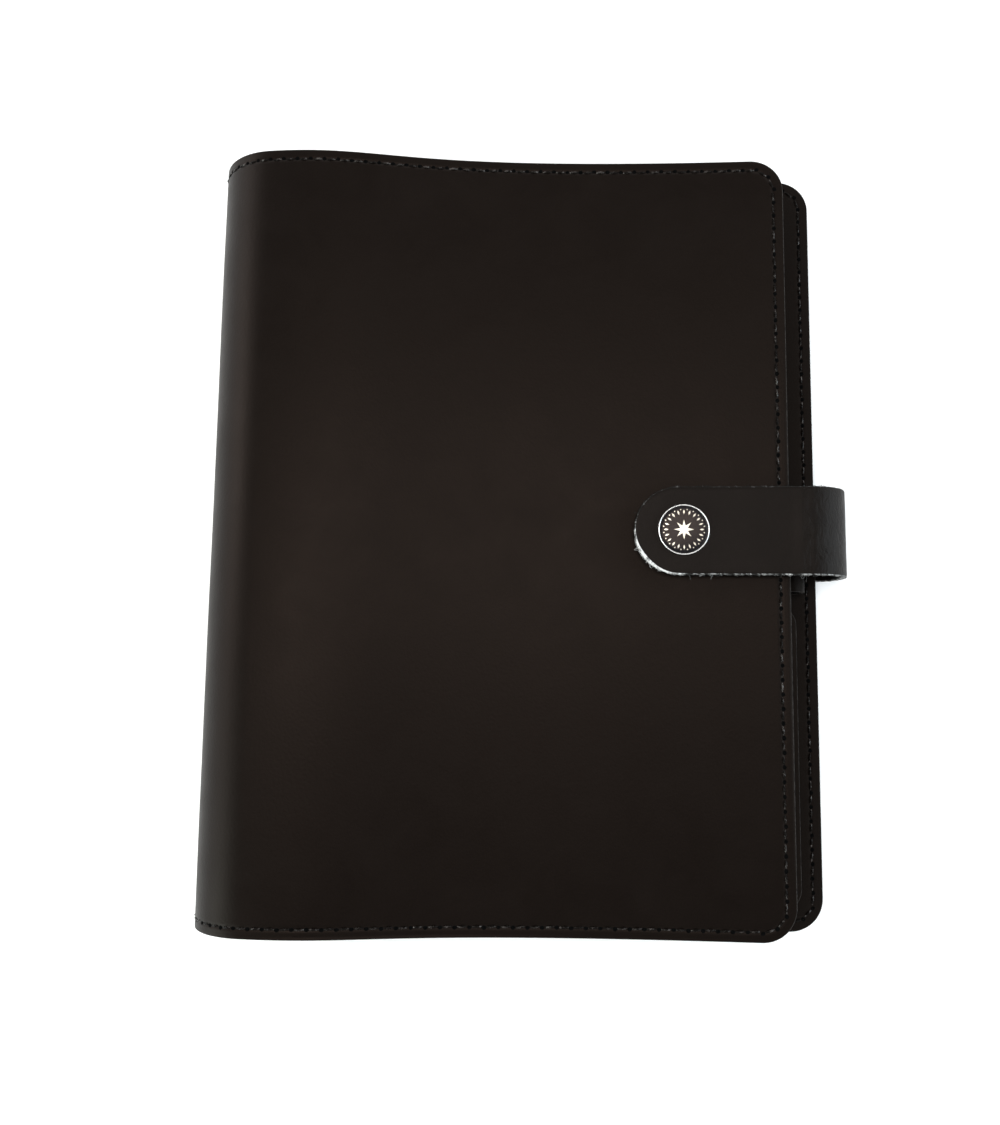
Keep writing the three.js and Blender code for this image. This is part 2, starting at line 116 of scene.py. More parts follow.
# the strap
STRAP = 1.8 * MM
STRAP_Y = sum(v.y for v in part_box("strap_flap")) / 2
STRAP_HALF = (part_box("strap_flap")[1].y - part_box("strap_flap")[0].y) / 2
STRAP_ROOT_X = 112 * MM
STRAP_TURN_LOW_X = 185 * MM
STRAP_TURN_HIGH_X = 181 * MM
STRAP_TIP_X = 129.6 * MM
FLAP_GAP = 2.3 * MM
STRAP_BEND_MIDDLE = 94 * MM
STRAP_BEND_HALF = 15 * MM
STRAP_RAGGED = 0.15 * MM
TEAR_SIZE = 0.7 * MM
# Round the tip's foot side, which faces the light, the raw edge is skived wider and painted paler as a
# highlight.
TIP_LIT_TURN = math.radians(-42)
TIP_WEAR_SPREAD = math.radians(28)
TIP_HIGHLIGHT_REACH = 12 * MM
TIP_SKIVE = 1.9
ROOT_SEAM_END = 30 * MM
ROOT_PITCH = 3.8 * MM
FIBRE_RADIUS = 0.06 * MM
SHORT_FIBRE = (0.15 * MM, 0.5 * MM)
LONG_FIBRE = (0.9 * MM, 1.8 * MM)
LONG_FIBRE_SHARE = 0.02

# the press stud: heights are above the front cover
SNAP_X = 144 * MM
CAP_FOOT = FLAP_GAP + STRAP
CAP_RADIUS = 7.5 * MM
CAP_FIELD_RADIUS = CAP_RADIUS - 0.4 * MM
CAP_CROWN = CAP_FOOT + 1.18 * MM
CAP_DISH = 0.16 * MM
LOZENGES = 20

# the pockets and the pen loop
POCKET_MARGIN = 6.5 * MM
POCKET_MOUTH_X = 74 * MM
POCKET_CORNER = 6 * MM
SMALL_CORNER = 0.5 * MM
NOTE_POCKET_TOP = -20 * MM
CARD_LENGTH = 90 * MM
CARD_HEIGHTS = [50 * MM, 12 * MM, 12 * MM]
PANEL_STITCH_INSET = 2 * MM
PANEL_PITCH = 3.4 * MM
UNSEWN = 2.5 * MM
PEN_LOOP_RADIUS = 4.8 * MM

# the ring mechanism
RING_YS = [y * MM for y in (-73, -54, -35, 35, 54, 73)]
RING_RADIUS = 11.3 * MM
RING_WIRE = 1.3 * MM
RING_SIDES = 20
RING_STEPS = 40
RING_CENTRE_X = 19.2 * MM
RING_END_ANGLE = math.radians(148)
SHELL_HALF_LENGTH = 102 * MM
SHELL_HALF_WIDTH = 8.2 * MM
SHELL_BASE_X = 6.7 * MM
SHELL_RISE = 5 * MM
SHELL_WALL = 0.8 * MM
NOTCH_HALF = RING_WIRE + 0.5 * MM
NOTCH_START = math.asin(3.6 / 8.2)
LEVER_WALL = 1 * MM
LEVER_BEND = 2 * MM
LEVER_COLUMNS = 12

SHEEN_TINT = (1.0, 0.76, 0.64, 1)
STRAP_TINT = (1.0, 0.87, 0.8, 1)
THREAD_TINT = (1.0, 0.92, 0.86, 1)
DUST = (0.06, 0.055, 0.05, 1)

# the view and the light
CAMERA_PLACE = (LEFT + 126.463 * MM, -42.957 * MM, 321.069 * MM)
CAMERA_TURN = (6.6245, 6.8908, 0.7115)
CAMERA_LENS = 32.244
SENSOR_WIDTH = 36
EXPOSURE = 0.28
FLOOR_HALF = 12
# height and colour of the sky's bands
SKY_TONES = [
    (0.0, [0.85] * 3), (0.06, [1.0] * 3), (0.3, [1.9] * 3), (0.5, [1.5] * 3), (0.76, (0.09, 0.085, 0.08)),
]
# name, place, target, size, power and colour of each lamp
LIGHTS = [
    ("overhead_strip", (-0.02, 0.055, 0.7), (0, 0, 0.02), (0.56, 0.15), 1.5, (1.0, 0.98, 0.96)),
    ("spine_panel", (-0.72, 0.2, 0.42), (-0.08, 0.02, 0.03), (0.3, 0.2), 0.8, (1.0, 0.97, 0.93)),
    ("window", (-0.75, -0.5, 0.38), (-0.1, -0.08, 0.02), (0.5, 0.5), 2.3, (0.74, 1.0, 0.95)),
    ("side_fill", (0.7, 0.02, 0.3), (0.09, 0, 0.02), (0.4, 0.5), 2.2, (0.62, 0.85, 1.0)),
]

chance = random.Random(7)


# ---- materials
class Wiring:
    """The shader nodes of a material or a sky, while they are put together."""

    def __init__(self, tree):
        self.tree = tree
        tree.nodes.clear()

    def join(self, given, socket):
        """Sets a socket to a value, or feeds it from another node's output."""
        if isinstance(given, bpy.types.NodeSocket):
            self.tree.links.new(given, socket)
        else:
            socket.default_value = given

    def feed(self, node, **inputs):
        for name, given in inputs.items():
            self.join(given, node.inputs[name.replace("_", " ")])
        return node

    def node(self, kind, mode=None, **inputs):
        """A new node. mode is one of the node's own settings and its value."""
        node = self.tree.nodes.new(f"ShaderNode{kind}")
        if mode:
            setattr(node, *mode)
        return self.feed(node, **inputs)

    def noise(self, place, scale, detail=3.0, roughness=0.5, distortion=0.0):
        node = self.node("TexNoise", Vector=place, Scale=scale, Detail=detail)
        return self.feed(node, Roughness=roughness, Distortion=distortion).outputs["Fac"]

    def ramp(self, value, *stops):
        """A colour ramp over value, with stops as (position, colour)."""
        node = self.node("ValToRGB", Fac=value)
        elements = node.color_ramp.elements
        while len(elements) < len(stops):
            elements.new(0.5)
        for element, (position, colour) in zip(elements, stops):
            element.position = position
            element.color = (*colour, 1)
        return node.outputs["Color"]

    def spread(self, value, low, high, out_low, out_high):
        """value taken from low..high to out_low..out_high."""
        node = self.node("MapRange", Value=value, From_Min=low, From_Max=high)
        return self.feed(node, To_Min=out_low, To_Max=out_high).outputs["Result"]

    def math(self, operation, *values, kind="Math"):
        node = self.node(kind, ("operation", operation))
        for given, socket in zip(values, node.inputs):
            self.join(given, socket)
        return node.outputs["Value"]

    def mix(self, factor, first, second):
        node = self.node("Mix", ("data_type", "RGBA"), Factor=factor, A=first, B=second)
        return node.outputs["Result"]

    def split(self, place, axis):
        return self.node("SeparateXYZ", Vector=place).outputs[axis]

    def stretched(self, place, share):
        """place with its second axis drawn out."""
        return self.node("Mapping", Vector=place, Scale=(1, share, 1)).outputs["Vector"]


class Finish(Wiring):
    """A material made round one principled shader."""

    def __init__(self, name, **inputs):
        self.material = bpy.data.materials.new(name)
        self.material.use_nodes = True
        super().__init__(self.material.node_tree)
        self.shader = self.node("BsdfPrincipled", **inputs)
        self.node("OutputMaterial", Surface=self.shader.outputs["BSDF"])

    def look(self, **inputs):
        self.feed(self.shader, **inputs)

    def on_sheet(self):
        """The (s, y) place on a sheet in metres, from the sheet's own map."""
        return self.node("UVMap", ("uv_map", "sheet")).outputs["UV"]

    def in_space(self):
        return self.node("TexCoord").outputs["Object"]

    def bumps(self, *layers):
        """Adds height layers, each (height, strength, distance), to the shader's normal."""
        normal = None
        for height, strength, distance in layers:
            node = self.node("Bump", Height=height, Strength=strength, Distance=distance)
            if normal is not None:
                self.feed(node, Normal=normal)
            normal = node.outputs["Normal"]
        self.look(Normal=normal)


def leather(name, dark, light, roughness, grain_scale, grain_depth, specular, tint=SHEEN_TINT, creased=False):
    """Dyed leather: pores, soft creases, cloudy dye and a slightly uneven polish."""
    finish = Finish(name, Specular_IOR_Level=specular, Specular_Tint=tint)
    place = finish.on_sheet()
    clouds = finish.ramp(finish.noise(place, 22, detail=5, roughness=0.6), (0.3, dark), (0.75, light))
    fine = finish.ramp(finish.noise(place, 2200, roughness=0.7), (0.38, dark), (0.66, light))
    polish = finish.noise(place, 60, detail=4, roughness=0.65, distortion=0.4)
    finish.look(
        Base_Color=finish.mix(dust_at(finish, place), finish.mix(0.65, clouds, fine), DUST),
        Roughness=finish.spread(polish, 0.3, 0.7, roughness - 0.03, roughness + 0.04),
    )
    pores = finish.node("TexVoronoi", ("feature", "SMOOTH_F1"), Vector=place, Scale=grain_scale)
    creases = finish.noise(place, grain_scale * 0.28, detail=4, roughness=0.7, distortion=1.2)
    layers = [
        (finish.noise(place, 45, detail=2), 0.18, 0.5 * MM),
        (creases, 0.35, grain_depth * 1.5),
        (pores.outputs["Distance"], 0.5, grain_depth),
    ]
    if creased:
        layers.insert(1, (bend_creases(finish, place), 0.7, 0.5 * MM))
    finish.bumps(*layers)
    return finish.material


def dust_at(finish, place):
    """A few tiny pale specks, one to a cell, of uneven size."""
    cells = finish.node("TexVoronoi", Vector=place, Scale=60)
    size = finish.node("SeparateColor", Color=cells.outputs["Color"]).outputs["Red"]
    return finish.math("LESS_THAN", cells.outputs["Distance"], finish.spread(size, 0.45, 1.0, 0.0, 0.011))


def bend_creases(finish, place):
    """Fine wrinkles, only where the strap turns round the fore-edges."""
    folds = finish.noise(finish.stretched(place, 0.45), 520, detail=5, roughness=0.65, distortion=1.2)
    near = finish.math("COMPARE", finish.split(place, "X"), STRAP_BEND_MIDDLE, STRAP_BEND_HALF)
    return finish.math("MULTIPLY", folds, near)


def cut_leather(name, dark, light, wear_and_painted_light=(1.1, 1.1), tip=None):
    """A cut edge: pale fibres in dark dye.

    The paleness runs from the strap's foot side to its head side, and there is more of it round tip. On the
    strap's raw edge both are painted highlight on the side that faces the light, laid over its pale fibres.
    """
    finish = Finish(name, Specular_IOR_Level=0.08)
    place = finish.on_sheet()
    fibres = finish.noise(place, 1800, detail=6, roughness=0.75, distortion=0.6)
    patches = finish.noise(place, 420, detail=5, roughness=0.7)
    # Painted highlight: the edge is paler towards the strap's foot side, which faces the light.
    worn_and_lit = finish.spread(finish.split(place, "Y"), -STRAP_HALF, STRAP_HALF, *wear_and_painted_light)
    if tip:
        # More painted highlight round a spot on the tip's foot side.
        away = finish.math("DISTANCE", place, tip, kind="VectorMath")
        worn_and_lit = finish.math("ADD", worn_and_lit, finish.spread(away, TIP_HIGHLIGHT_REACH / 3, TIP_HIGHLIGHT_REACH, 0.7, 0.0))
    paleness = finish.math("MULTIPLY", finish.math("MULTIPLY", fibres, patches), worn_and_lit)
    finish.look(
        Base_Color=finish.ramp(paleness, (0.2, dark), (0.34, light)),
        Roughness=finish.spread(fibres, 0.3, 0.7, 0.7, 0.95),
    )
    finish.bumps((fibres, 0.9, 0.15 * MM))
    return finish.material


def thread_material():
    """Dark twisted thread with shiny patches of wax."""
    finish = Finish("waxed_thread", Specular_Tint=THREAD_TINT)
    place = finish.on_sheet()
    bands = ("bands_direction", "DIAGONAL")
    twist = finish.node("TexWave", bands, Vector=place, Scale=900, Distortion=1.5).outputs["Fac"]
    shade = finish.noise(place, 620, roughness=0.6)
    finish.look(
        Base_Color=finish.ramp(shade, (0.3, (0.0025, 0.0018, 0.0015)), (0.8, (0.008, 0.0068, 0.006))),
        Roughness=finish.spread(twist, 0, 1, 0.16, 0.3),
        Specular_IOR_Level=finish.spread(shade, 0.5, 0.66, 0.05, 0.75),
    )
    finish.bumps((twist, 0.6, 0.08 * MM))
    return finish.material


def speckled(name, scale, detail, roughness, stops, **inputs):
    """A finish in the colours of one fine noise, and that noise."""
    finish = Finish(name, **inputs)
    specks = finish.noise(finish.in_space(), scale, detail, roughness)
    finish.look(Base_Color=finish.ramp(specks, *stops))
    return finish, specks


# Near-black and barely shiny: painted shade for the inside of a needle hole.
def hole_shade_material():
    stops = [(0.3, [0.001] * 3), (0.9, [0.004] * 3)]
    return speckled("needle_hole_shade", 2000, 2, 0.5, stops, Roughness=0.9, Specular_IOR_Level=0.02)[0].material


def polished_metal(name, colour, roughness, grain):
    """Plated metal with faint polishing marks and handling haze."""
    darker = [0.9 * share for share in colour]
    finish, haze = speckled(name, 90, 4, 0.6, [(0.3, darker), (0.7, colour)], Metallic=1)
    marks = finish.noise(finish.stretched(finish.in_space(), 0.06), 2500, detail=4, roughness=0.7)
    finish.look(Roughness=finish.spread(haze, 0.3, 0.7, roughness, roughness + 0.1))
    finish.bumps((marks, grain, 0.02 * MM))
    return finish.material


def enamel():
    stops = [(0.35, (0.006, 0.006, 0.007)), (0.75, (0.016, 0.016, 0.018))]
    finish, pits = speckled(
        "dark_enamel", 1800, 4, 0.7, stops, Specular_IOR_Level=0.12, Specular_Tint=SHEEN_TINT
    )
    finish.look(Roughness=finish.spread(pits, 0.3, 0.7, 0.12, 0.22))
    finish.bumps((pits, 0.15, 0.03 * MM))
    return finish.material


def board_material():
    stops = [(0.3, (0.24, 0.22, 0.19)), (0.7, (0.38, 0.35, 0.3))]
    finish, fibres = speckled("grey_board", 900, 6, 0.7, stops, Roughness=0.9)
    finish.bumps((fibres, 0.4, 0.05 * MM))
    return finish.material


# ---- lines in the XZ plane
class Line:
    """A line through close points (x, z), walked by its own length. side is 1 with its inside on its left."""

    def __init__(self, points, side):
        self.xz = np.array(points, float)
        steps = np.linalg.norm(np.diff(self.xz, axis=0), axis=1)
        self.walked = np.concatenate([[0.0], np.cumsum(steps)])
        self.length = float(self.walked[-1])
        ahead = np.gradient(self.xz, self.walked, axis=0)
        ahead /= np.linalg.norm(ahead, axis=1)[:, None]
        self.inward = side * np.stack([-ahead[:, 1], ahead[:, 0]], axis=1)

    def at(self, s, y, depth):
        """The point in space at a place on the sheet that lies on this line."""
        x, z = (np.interp(s, self.walked, self.xz[:, i]) for i in (0, 1))
        nx, nz = (np.interp(s, self.walked, self.inward[:, i]) for i in (0, 1))
        return Vector((LEFT + x + nx * depth, y, z + nz * depth))

    def at_x(self, x):
        """How far along the line x is reached, on a line whose x only rises or only falls there."""
        return float(self.walked[np.abs(self.xz[:, 0] - x).argmin()])


def bezier(a, b, c, d, count=400):
    t = np.linspace(0, 1, count)[:, None]
    a, b, c, d = (np.array(p, float) for p in (a, b, c, d))
    return (1 - t) ** 3 * a + 3 * (1 - t) ** 2 * t * b + 3 * (1 - t) * t * t * c + t**3 * d


def strung(*stretches):
    """Stretches of points end to end, without the shared points."""
    return np.concatenate([stretches[0]] + [stretch[1:] for stretch in stretches[1:]])


def straight(a, b, count=200):
    t = np.linspace(0, 1, count)[:, None]
    return np.array(a) * (1 - t) + np.array(b) * t


def arc(centre, radius, start, end, count):
    angles = np.radians(np.linspace(start, end, count))
    return np.array(centre) + radius * np.stack([np.cos(angles), np.sin(angles)], axis=1)


FRONT_FALL = bezier(
    (SPINE_RADIUS, 2 * SPINE_RADIUS),
    (SPINE_RADIUS + CROWN_REACH, 2 * SPINE_RADIUS),
    (FRONT_EDGE_X - EDGE_REACH, FRONT_EDGE_Z + EDGE_REACH * EDGE_SLOPE),
    (FRONT_EDGE_X, FRONT_EDGE_Z),
    1200,
)
BACK_BEND = (3 * SPINE_RADIUS, BACK_RISE)
BACK_RUN = strung(
    straight((BACK_EDGE_X, BACK_RISE), BACK_BEND),
    bezier(BACK_BEND, (2 * SPINE_RADIUS, BACK_RISE), (2 * SPINE_RADIUS, 0), (SPINE_RADIUS, 0)),
)
SPINE_ARC = arc((SPINE_RADIUS, SPINE_RADIUS), SPINE_RADIUS, 270, 90, 1200)
BOOK = Line(strung(BACK_RUN, SPINE_ARC, FRONT_FALL), -1)
FRONT_LINE = Line(FRONT_FALL, -1)
BACK_LINE = Line(BACK_RUN, -1)
ARC_START = float(BOOK.walked[len(BACK_RUN) - 1])
ARC_LENGTH = math.pi * SPINE_RADIUS
BOOK_BOX = (0, BOOK.length, -HALF_HEIGHT, HALF_HEIGHT)


def on_spine(angle):
    """How far along the book line the spine has an angle, in degrees from 270 at the back to 90 in front."""
    return ARC_START + ARC_LENGTH * (270 - angle) / 180


def on_front(x):
    """How far along the book line the front cover reaches x."""
    return BOOK.length - (FRONT_LINE.length - FRONT_LINE.at_x(x))


def loop_point(turn):
    """The strap's outer face where it has turned through an angle round the fore-edges."""
    half_rise = (FRONT_EDGE_Z + FLAP_GAP + STRAP) / 2
    start_x = STRAP_TURN_LOW_X if turn < math.pi / 2 else STRAP_TURN_HIGH_X
    reach = STRAP_REACH_X - start_x
    angle = math.atan2(reach * math.sin(turn), half_rise * math.cos(turn))
    return start_x + reach * math.sin(angle), half_rise * (1 - math.cos(angle))


def flap_point(s):
    """The strap's outer face over a place on the front cover."""
    above = FRONT_LINE.at(s, 0, -FLAP_GAP - STRAP)
    return above.x - LEFT, above.z


STRAP_LOOP = np.array([loop_point(turn) for turn in np.linspace(0, math.pi, 400)])
FLAP_REACH = np.linspace(FRONT_LINE.length, FRONT_LINE.at_x(STRAP_TIP_X), 300)
STRAP_FLAP = np.array([flap_point(s) for s in FLAP_REACH])
STRAP_LINE = Line(
    strung(
        straight((STRAP_ROOT_X, 0), STRAP_LOOP[0]),
        STRAP_LOOP,
        straight(STRAP_LOOP[-1], STRAP_FLAP[0], 20),
        STRAP_FLAP,
    ),
    1,
)
STRAP_BOX = (0, STRAP_LINE.length, STRAP_Y - STRAP_HALF, STRAP_Y + STRAP_HALF)
TIP_CENTRE = STRAP_LINE.length - STRAP_HALF
# The middle of the painted highlight on the raw edge, at the tip's foot side.
TIP_HIGHLIGHT = (
    TIP_CENTRE + STRAP_HALF * math.cos(TIP_LIT_TURN),
    STRAP_Y + STRAP_HALF * math.sin(TIP_LIT_TURN),
    0,
)


# ---- the finishes
COVER_LEATHER = leather(
    "cover_leather", (0.0022, 0.00145, 0.00115), (0.0043, 0.003, 0.0024),
    roughness=0.43, grain_scale=1500, grain_depth=0.05 * MM, specular=0.13,
)
STRAP_LEATHER = leather(
    "strap_leather", (0.0029, 0.0021, 0.0017), (0.0052, 0.0038, 0.0031),
    roughness=0.42, grain_scale=1300, grain_depth=0.05 * MM, specular=0.11, tint=STRAP_TINT, creased=True,
)
LINING_LEATHER = leather(
    "lining_leather", (0.0024, 0.0018, 0.0015), (0.0046, 0.0035, 0.0029),
    roughness=0.6, grain_scale=2200, grain_depth=0.06 * MM, specular=0.1,
)
POCKET_LEATHER = leather(
    "pocket_leather", (0.0034, 0.0026, 0.0022), (0.0062, 0.0048, 0.0040),
    roughness=0.56, grain_scale=2000, grain_depth=0.06 * MM, specular=0.12,
)
# Darker and less shiny than the cover: dark leather with painted shade, for the pen loop's end that lies in
# the shade under the strap.
LOOP_LEATHER_PAINTED_SHADE = leather(
    "loop_leather", (0.0012, 0.0009, 0.0008), (0.003, 0.0022, 0.0018),
    roughness=0.5, grain_scale=900, grain_depth=0.1 * MM, specular=0.05,
)
CUT_EDGE = cut_leather("cut_edge", (0.009, 0.0078, 0.007), (0.036, 0.032, 0.029))
# The strap's raw edge: pale fibres, painted paler towards the foot side and round the tip as a highlight.
RAW_EDGE = cut_leather("raw_edge", (0.012, 0.011, 0.01), (0.72, 0.72, 0.71), (0.88, 0.65), TIP_HIGHLIGHT)
THREAD = thread_material()
# painted shade for the needle holes
HOLE_SHADE = hole_shade_material()
NICKEL = polished_metal("nickel", (0.72, 0.72, 0.71), 0.14, 0.12)
SHEET_STEEL = polished_metal("sheet_steel", (0.62, 0.63, 0.64), 0.24, 0.15)
INLAY = polished_metal("silver_inlay", (0.62, 0.58, 0.5), 0.26, 0.2)
ENAMEL = enamel()
BOARD = board_material()


# ---- meshes
def new_object(name, verts, faces, materials, smooth=True):
    """A mesh object. Nothing goes through the floor: what would is pressed flat on it."""
    mesh = bpy.data.meshes.new(name)
    mesh.from_pydata([(v[0], v[1], max(v[2], 0.0)) for v in verts], [], faces)
    for material in materials:
        mesh.materials.append(material)
    for polygon in mesh.polygons:
        polygon.use_smooth = smooth
    mesh.update()
    return placed(name, mesh)


def placed(name, data):
    piece = bpy.data.objects.new(name, data)
    bpy.context.scene.collection.objects.link(piece)
    return piece


def faced_outwards(piece):
    body = bmesh.new()
    body.from_mesh(piece.data)
    bmesh.ops.recalc_face_normals(body, faces=body.faces)
    body.to_mesh(piece.data)
    body.free()
    return piece


def closed_mesh(name, verts, faces, material, smooth=True):
    return faced_outwards(new_object(name, verts, faces, [material], smooth))


def give_sheet_map(piece, places):
    """Stores each vertex's (s, y) on the sheet as the piece's texture map."""
    layer = piece.data.uv_layers.new(name="sheet")
    for loop in piece.data.loops:
        layer.data[loop.index].uv = places[loop.vertex_index]


def true_faces(faces):
    """The faces without their repeated corners, and without those that have no area left."""
    kept = [tuple(c for i, c in enumerate(corners) if c != corners[i - 1]) for corners in faces]
    return [corners for corners in kept if len(set(corners)) >= 3]


def band(lower, upper):
    """The faces between two closed rings of vertices."""
    after = [*range(1, len(lower)), 0]
    return true_faces([(lower[k], lower[n], upper[n], upper[k]) for k, n in enumerate(after)])


def renumbered(faces):
    """The vertices that faces use, and the faces counted along those vertices."""
    used = sorted({c for corners in faces for c in corners})
    place = {old: new for new, old in enumerate(used)}
    return used, [tuple(place[c] for c in corners) for corners in faces]


def steps_between(low, high, size):
    count = max(1, round((high - low) / size))
    return [low + (high - low) * i / count for i in range(count + 1)]


def marks_through(stops, sizes):
    """Even marks from each stop to the next, with one size of step for each stretch."""
    stretches = zip(stops, stops[1:], sizes)
    return sorted({mark for low, high, size in stretches for mark in steps_between(low, high, size)})


def around(count, first=0.0):
    """The (cosine, sine) of even steps of a whole turn."""
    turns = [first + 2 * math.pi * k / count for k in range(count)]
    return [(math.cos(t), math.sin(t)) for t in turns]


# the corners of a box, counted round it: the sign of their s and y from its middle, and where each arc starts
CORNERS = [(1, -1, -90), (1, 1, 0), (-1, 1, 90), (-1, -1, 180)]


def corner_arc(box, corner, radius, inset, steps):
    """The places round a corner of a rounded box, at an inset from its rim."""
    s_low, s_high, y_low, y_high = box
    end, side, first = corner
    away = max(radius, inset)
    s = s_high - away if end > 0 else s_low + away
    y = y_high - away if side > 0 else y_low + away
    bend = max(radius - inset, 0)
    turns = [math.radians(first + 90 * i / steps) for i in range(steps + 1)]
    return [(s + bend * math.cos(t), y + bend * math.sin(t)) for t in turns]


def flat(*place):
    return 0.0


class Sheet:
    """A leather layer: a rounded box in (s, y), with rings of faces following its rim and a grid inside."""

    def __init__(
        self, line, box, radii, depths, insets, marks, step, bevel, relief=flat, ragged=0, skived=flat
    ):
        self.line = line
        self.box = box
        self.radii = radii
        self.top, self.bottom = depths
        self.insets = insets
        self.bevel = bevel
        self.ragged = ragged
        self.skived = skived
        self.relief = relief
        s_low, s_high, y_low, y_high = box
        start = s_low + max(insets[-1], radii[0])
        end = s_high - max(insets[-1], radii[1])
        self.s_marks = [start, *(s for s in marks if start < s < end), end]
        self.y_marks = steps_between(y_low + insets[-1], y_high - insets[-1], step)
        self.places, self.index, self.faces, self.kinds = [], {}, [], []
        self.build()

    def ring(self, inset):
        """The places of a closed ring at an inset from the rim."""
        s_low, s_high, y_low, y_high = self.box
        sides = (
            [(s, y_low + inset) for s in self.s_marks],
            [(s_high - inset, y) for y in self.y_marks],
            [(s, y_high - inset) for s in reversed(self.s_marks)],
            [(s_low + inset, y) for y in reversed(self.y_marks)],
        )
        points = []
        for side, corner in zip(sides, CORNERS):
            radius = self.radii[corner[0] > 0]
            steps = max(6, round(radius / (0.45 * MM)))
            points += [*side, *corner_arc(self.box, corner, radius, inset, steps)]
        return points

    def torn(self, inset, depth):
        """A ring near the rim, moved by the rim's raggedness and widened where the edge is skived."""
        inner, outer = self.ring(self.bevel), self.ring(0)
        reach = 1 - inset / self.bevel
        points = []
        for (s, y), (s_out, y_out) in zip(inner, outer):
            tear = noise.noise(Vector((s_out / TEAR_SIZE, y_out / TEAR_SIZE, depth / (0.6 * MM))))
            share = reach * (1 + self.ragged / self.bevel * tear)
            share -= (1 - reach) * self.skived(s_out, y_out)
            points.append((s + (s_out - s) * share, y + (y_out - y) * share))
        return points

    def vertex(self, s, y, depth):
        key = (round(s * 1e6), round(y * 1e6), round(depth * 1e7))
        if key not in self.index:
            self.index[key] = len(self.places)
            self.places.append((s, y, depth))
        return self.index[key]

    def add(self, faces, kind):
        """Adds faces of a kind: 0 on the leather's two sides, 1 on its cut edge."""
        self.faces += faces
        self.kinds += [kind] * len(faces)

    def build(self):
        b = self.bevel
        down = 1 if self.bottom > self.top else -1
        turns = [math.radians(a) for a in (0, 30, 60, 90)]
        rim = [(b * (1 - math.sin(a)), b * (1 - math.cos(a))) for a in turns]
        walls = [(i, self.top + down * d) for i, d in rim]
        walls += [(i, self.bottom - down * d) for i, d in reversed(rim)]
        rings = [[self.vertex(s, y, depth) for s, y in self.torn(inset, depth)] for inset, depth in walls]
        for upper, lower in zip(rings, rings[1:]):
            self.add(band(upper, lower), 1)
        self.side(self.top, rings[0], self.relief)
        self.side(self.bottom, rings[-1], flat)

    def side(self, depth, previous, relief):
        """One broad face of the leather: rings inwards from the rim, then a grid."""
        for inset in self.insets:
            ring = [self.vertex(s, y, depth + relief(s, y, inset)) for s, y in self.ring(inset)]
            self.add(band(previous, ring), 0)
            previous = ring
        if self.y_marks[-1] - self.y_marks[0] < 1e-6:
            return
        core = self.insets[-1]
        rows = [[self.vertex(s, y, depth + relief(s, y, core)) for y in self.y_marks] for s in self.s_marks]
        for a, b in zip(rows, rows[1:]):
            self.add(true_faces(zip(a, b, b[1:], a[1:])), 0)

    def pieces(self, names, cuts, materials):
        """The sheet as objects, cut at places along the line, shading as one skin."""
        points = [self.line.at(*place) for place in self.places]
        points = [Vector((p.x, p.y, max(p.z, RESTING))) for p in points]
        whole = faced_outwards(new_object("whole_sheet", points, self.faces, materials))
        normals = [v.normal.copy() for v in whole.data.vertices]
        faces = [tuple(p.vertices) for p in whole.data.polygons]
        bpy.data.objects.remove(whole)
        edges = [-1e9, *cuts, 1e9]
        middles = [sum(self.places[c][0] for c in corners) / len(corners) for corners in faces]
        made = []
        for name, low, high in zip(names, edges, edges[1:]):
            kept = [i for i, middle in enumerate(middles) if low <= middle < high]
            used, piece_faces = renumbered([faces[i] for i in kept])
            piece = new_object(name, [points[c] for c in used], piece_faces, materials)
            for polygon, i in zip(piece.data.polygons, kept):
                polygon.material_index = self.kinds[i]
            # The map slides along with the depth, so that cut edges are covered too.
            give_sheet_map(piece, [(s + depth, y + depth) for s, y, depth in (self.places[c] for c in used)])
            piece.data.normals_split_custom_set_from_vertices([normals[c] for c in used])
            made.append(piece)
        return made


class Tubes:
    """Tubes and other shells, gathered for one object with their places on a sheet."""

    def __init__(self):
        self.verts, self.faces, self.places = [], [], []

    def add(self, points, radii, sides, across):
        """Adds a tube through points, closed at both ends."""
        first = len(self.verts)
        for i, point in enumerate(points):
            ahead = (points[min(i + 1, len(points) - 1)] - points[max(i - 1, 0)]).normalized()
            u = ahead.cross(across).normalized()
            v = u.cross(ahead).normalized()
            self.verts += [point + radii[i] * (cos * u + sin * v) for cos, sin in around(sides)]
        rings = [range(start, start + sides) for start in range(first, len(self.verts), sides)]
        for lower, upper in zip(rings, rings[1:]):
            self.faces += band(lower, upper)
        self.faces += [tuple(reversed(rings[0])), tuple(rings[-1])]

    def made(self, name, material):
        piece = closed_mesh(name, self.verts, self.faces, material)
        if self.places:
            give_sheet_map(piece, self.places)
        return piece


def lathe(name, profile, sides, material, place):
    """A piece turned about its local z. Its profile of (radius, height) closes, or ends on the axis."""
    verts, faces, rows = [], [], []
    for radius, height in profile:
        start = len(verts)
        if radius < 1e-9:
            verts.append(Vector((0, 0, height)))
            rows.append([start] * sides)
        else:
            verts += [Vector((radius * cos, radius * sin, height)) for cos, sin in around(sides)]
            rows.append(list(range(start, start + sides)))
    if profile[0] == profile[-1] and profile[0][0] > 0:
        rows[-1] = rows[0]
    for lower, upper in zip(rows, rows[1:]):
        faces += band(lower, upper)
    used, faces = renumbered(faces)
    return closed_mesh(name, [place @ verts[c] for c in used], faces, material)


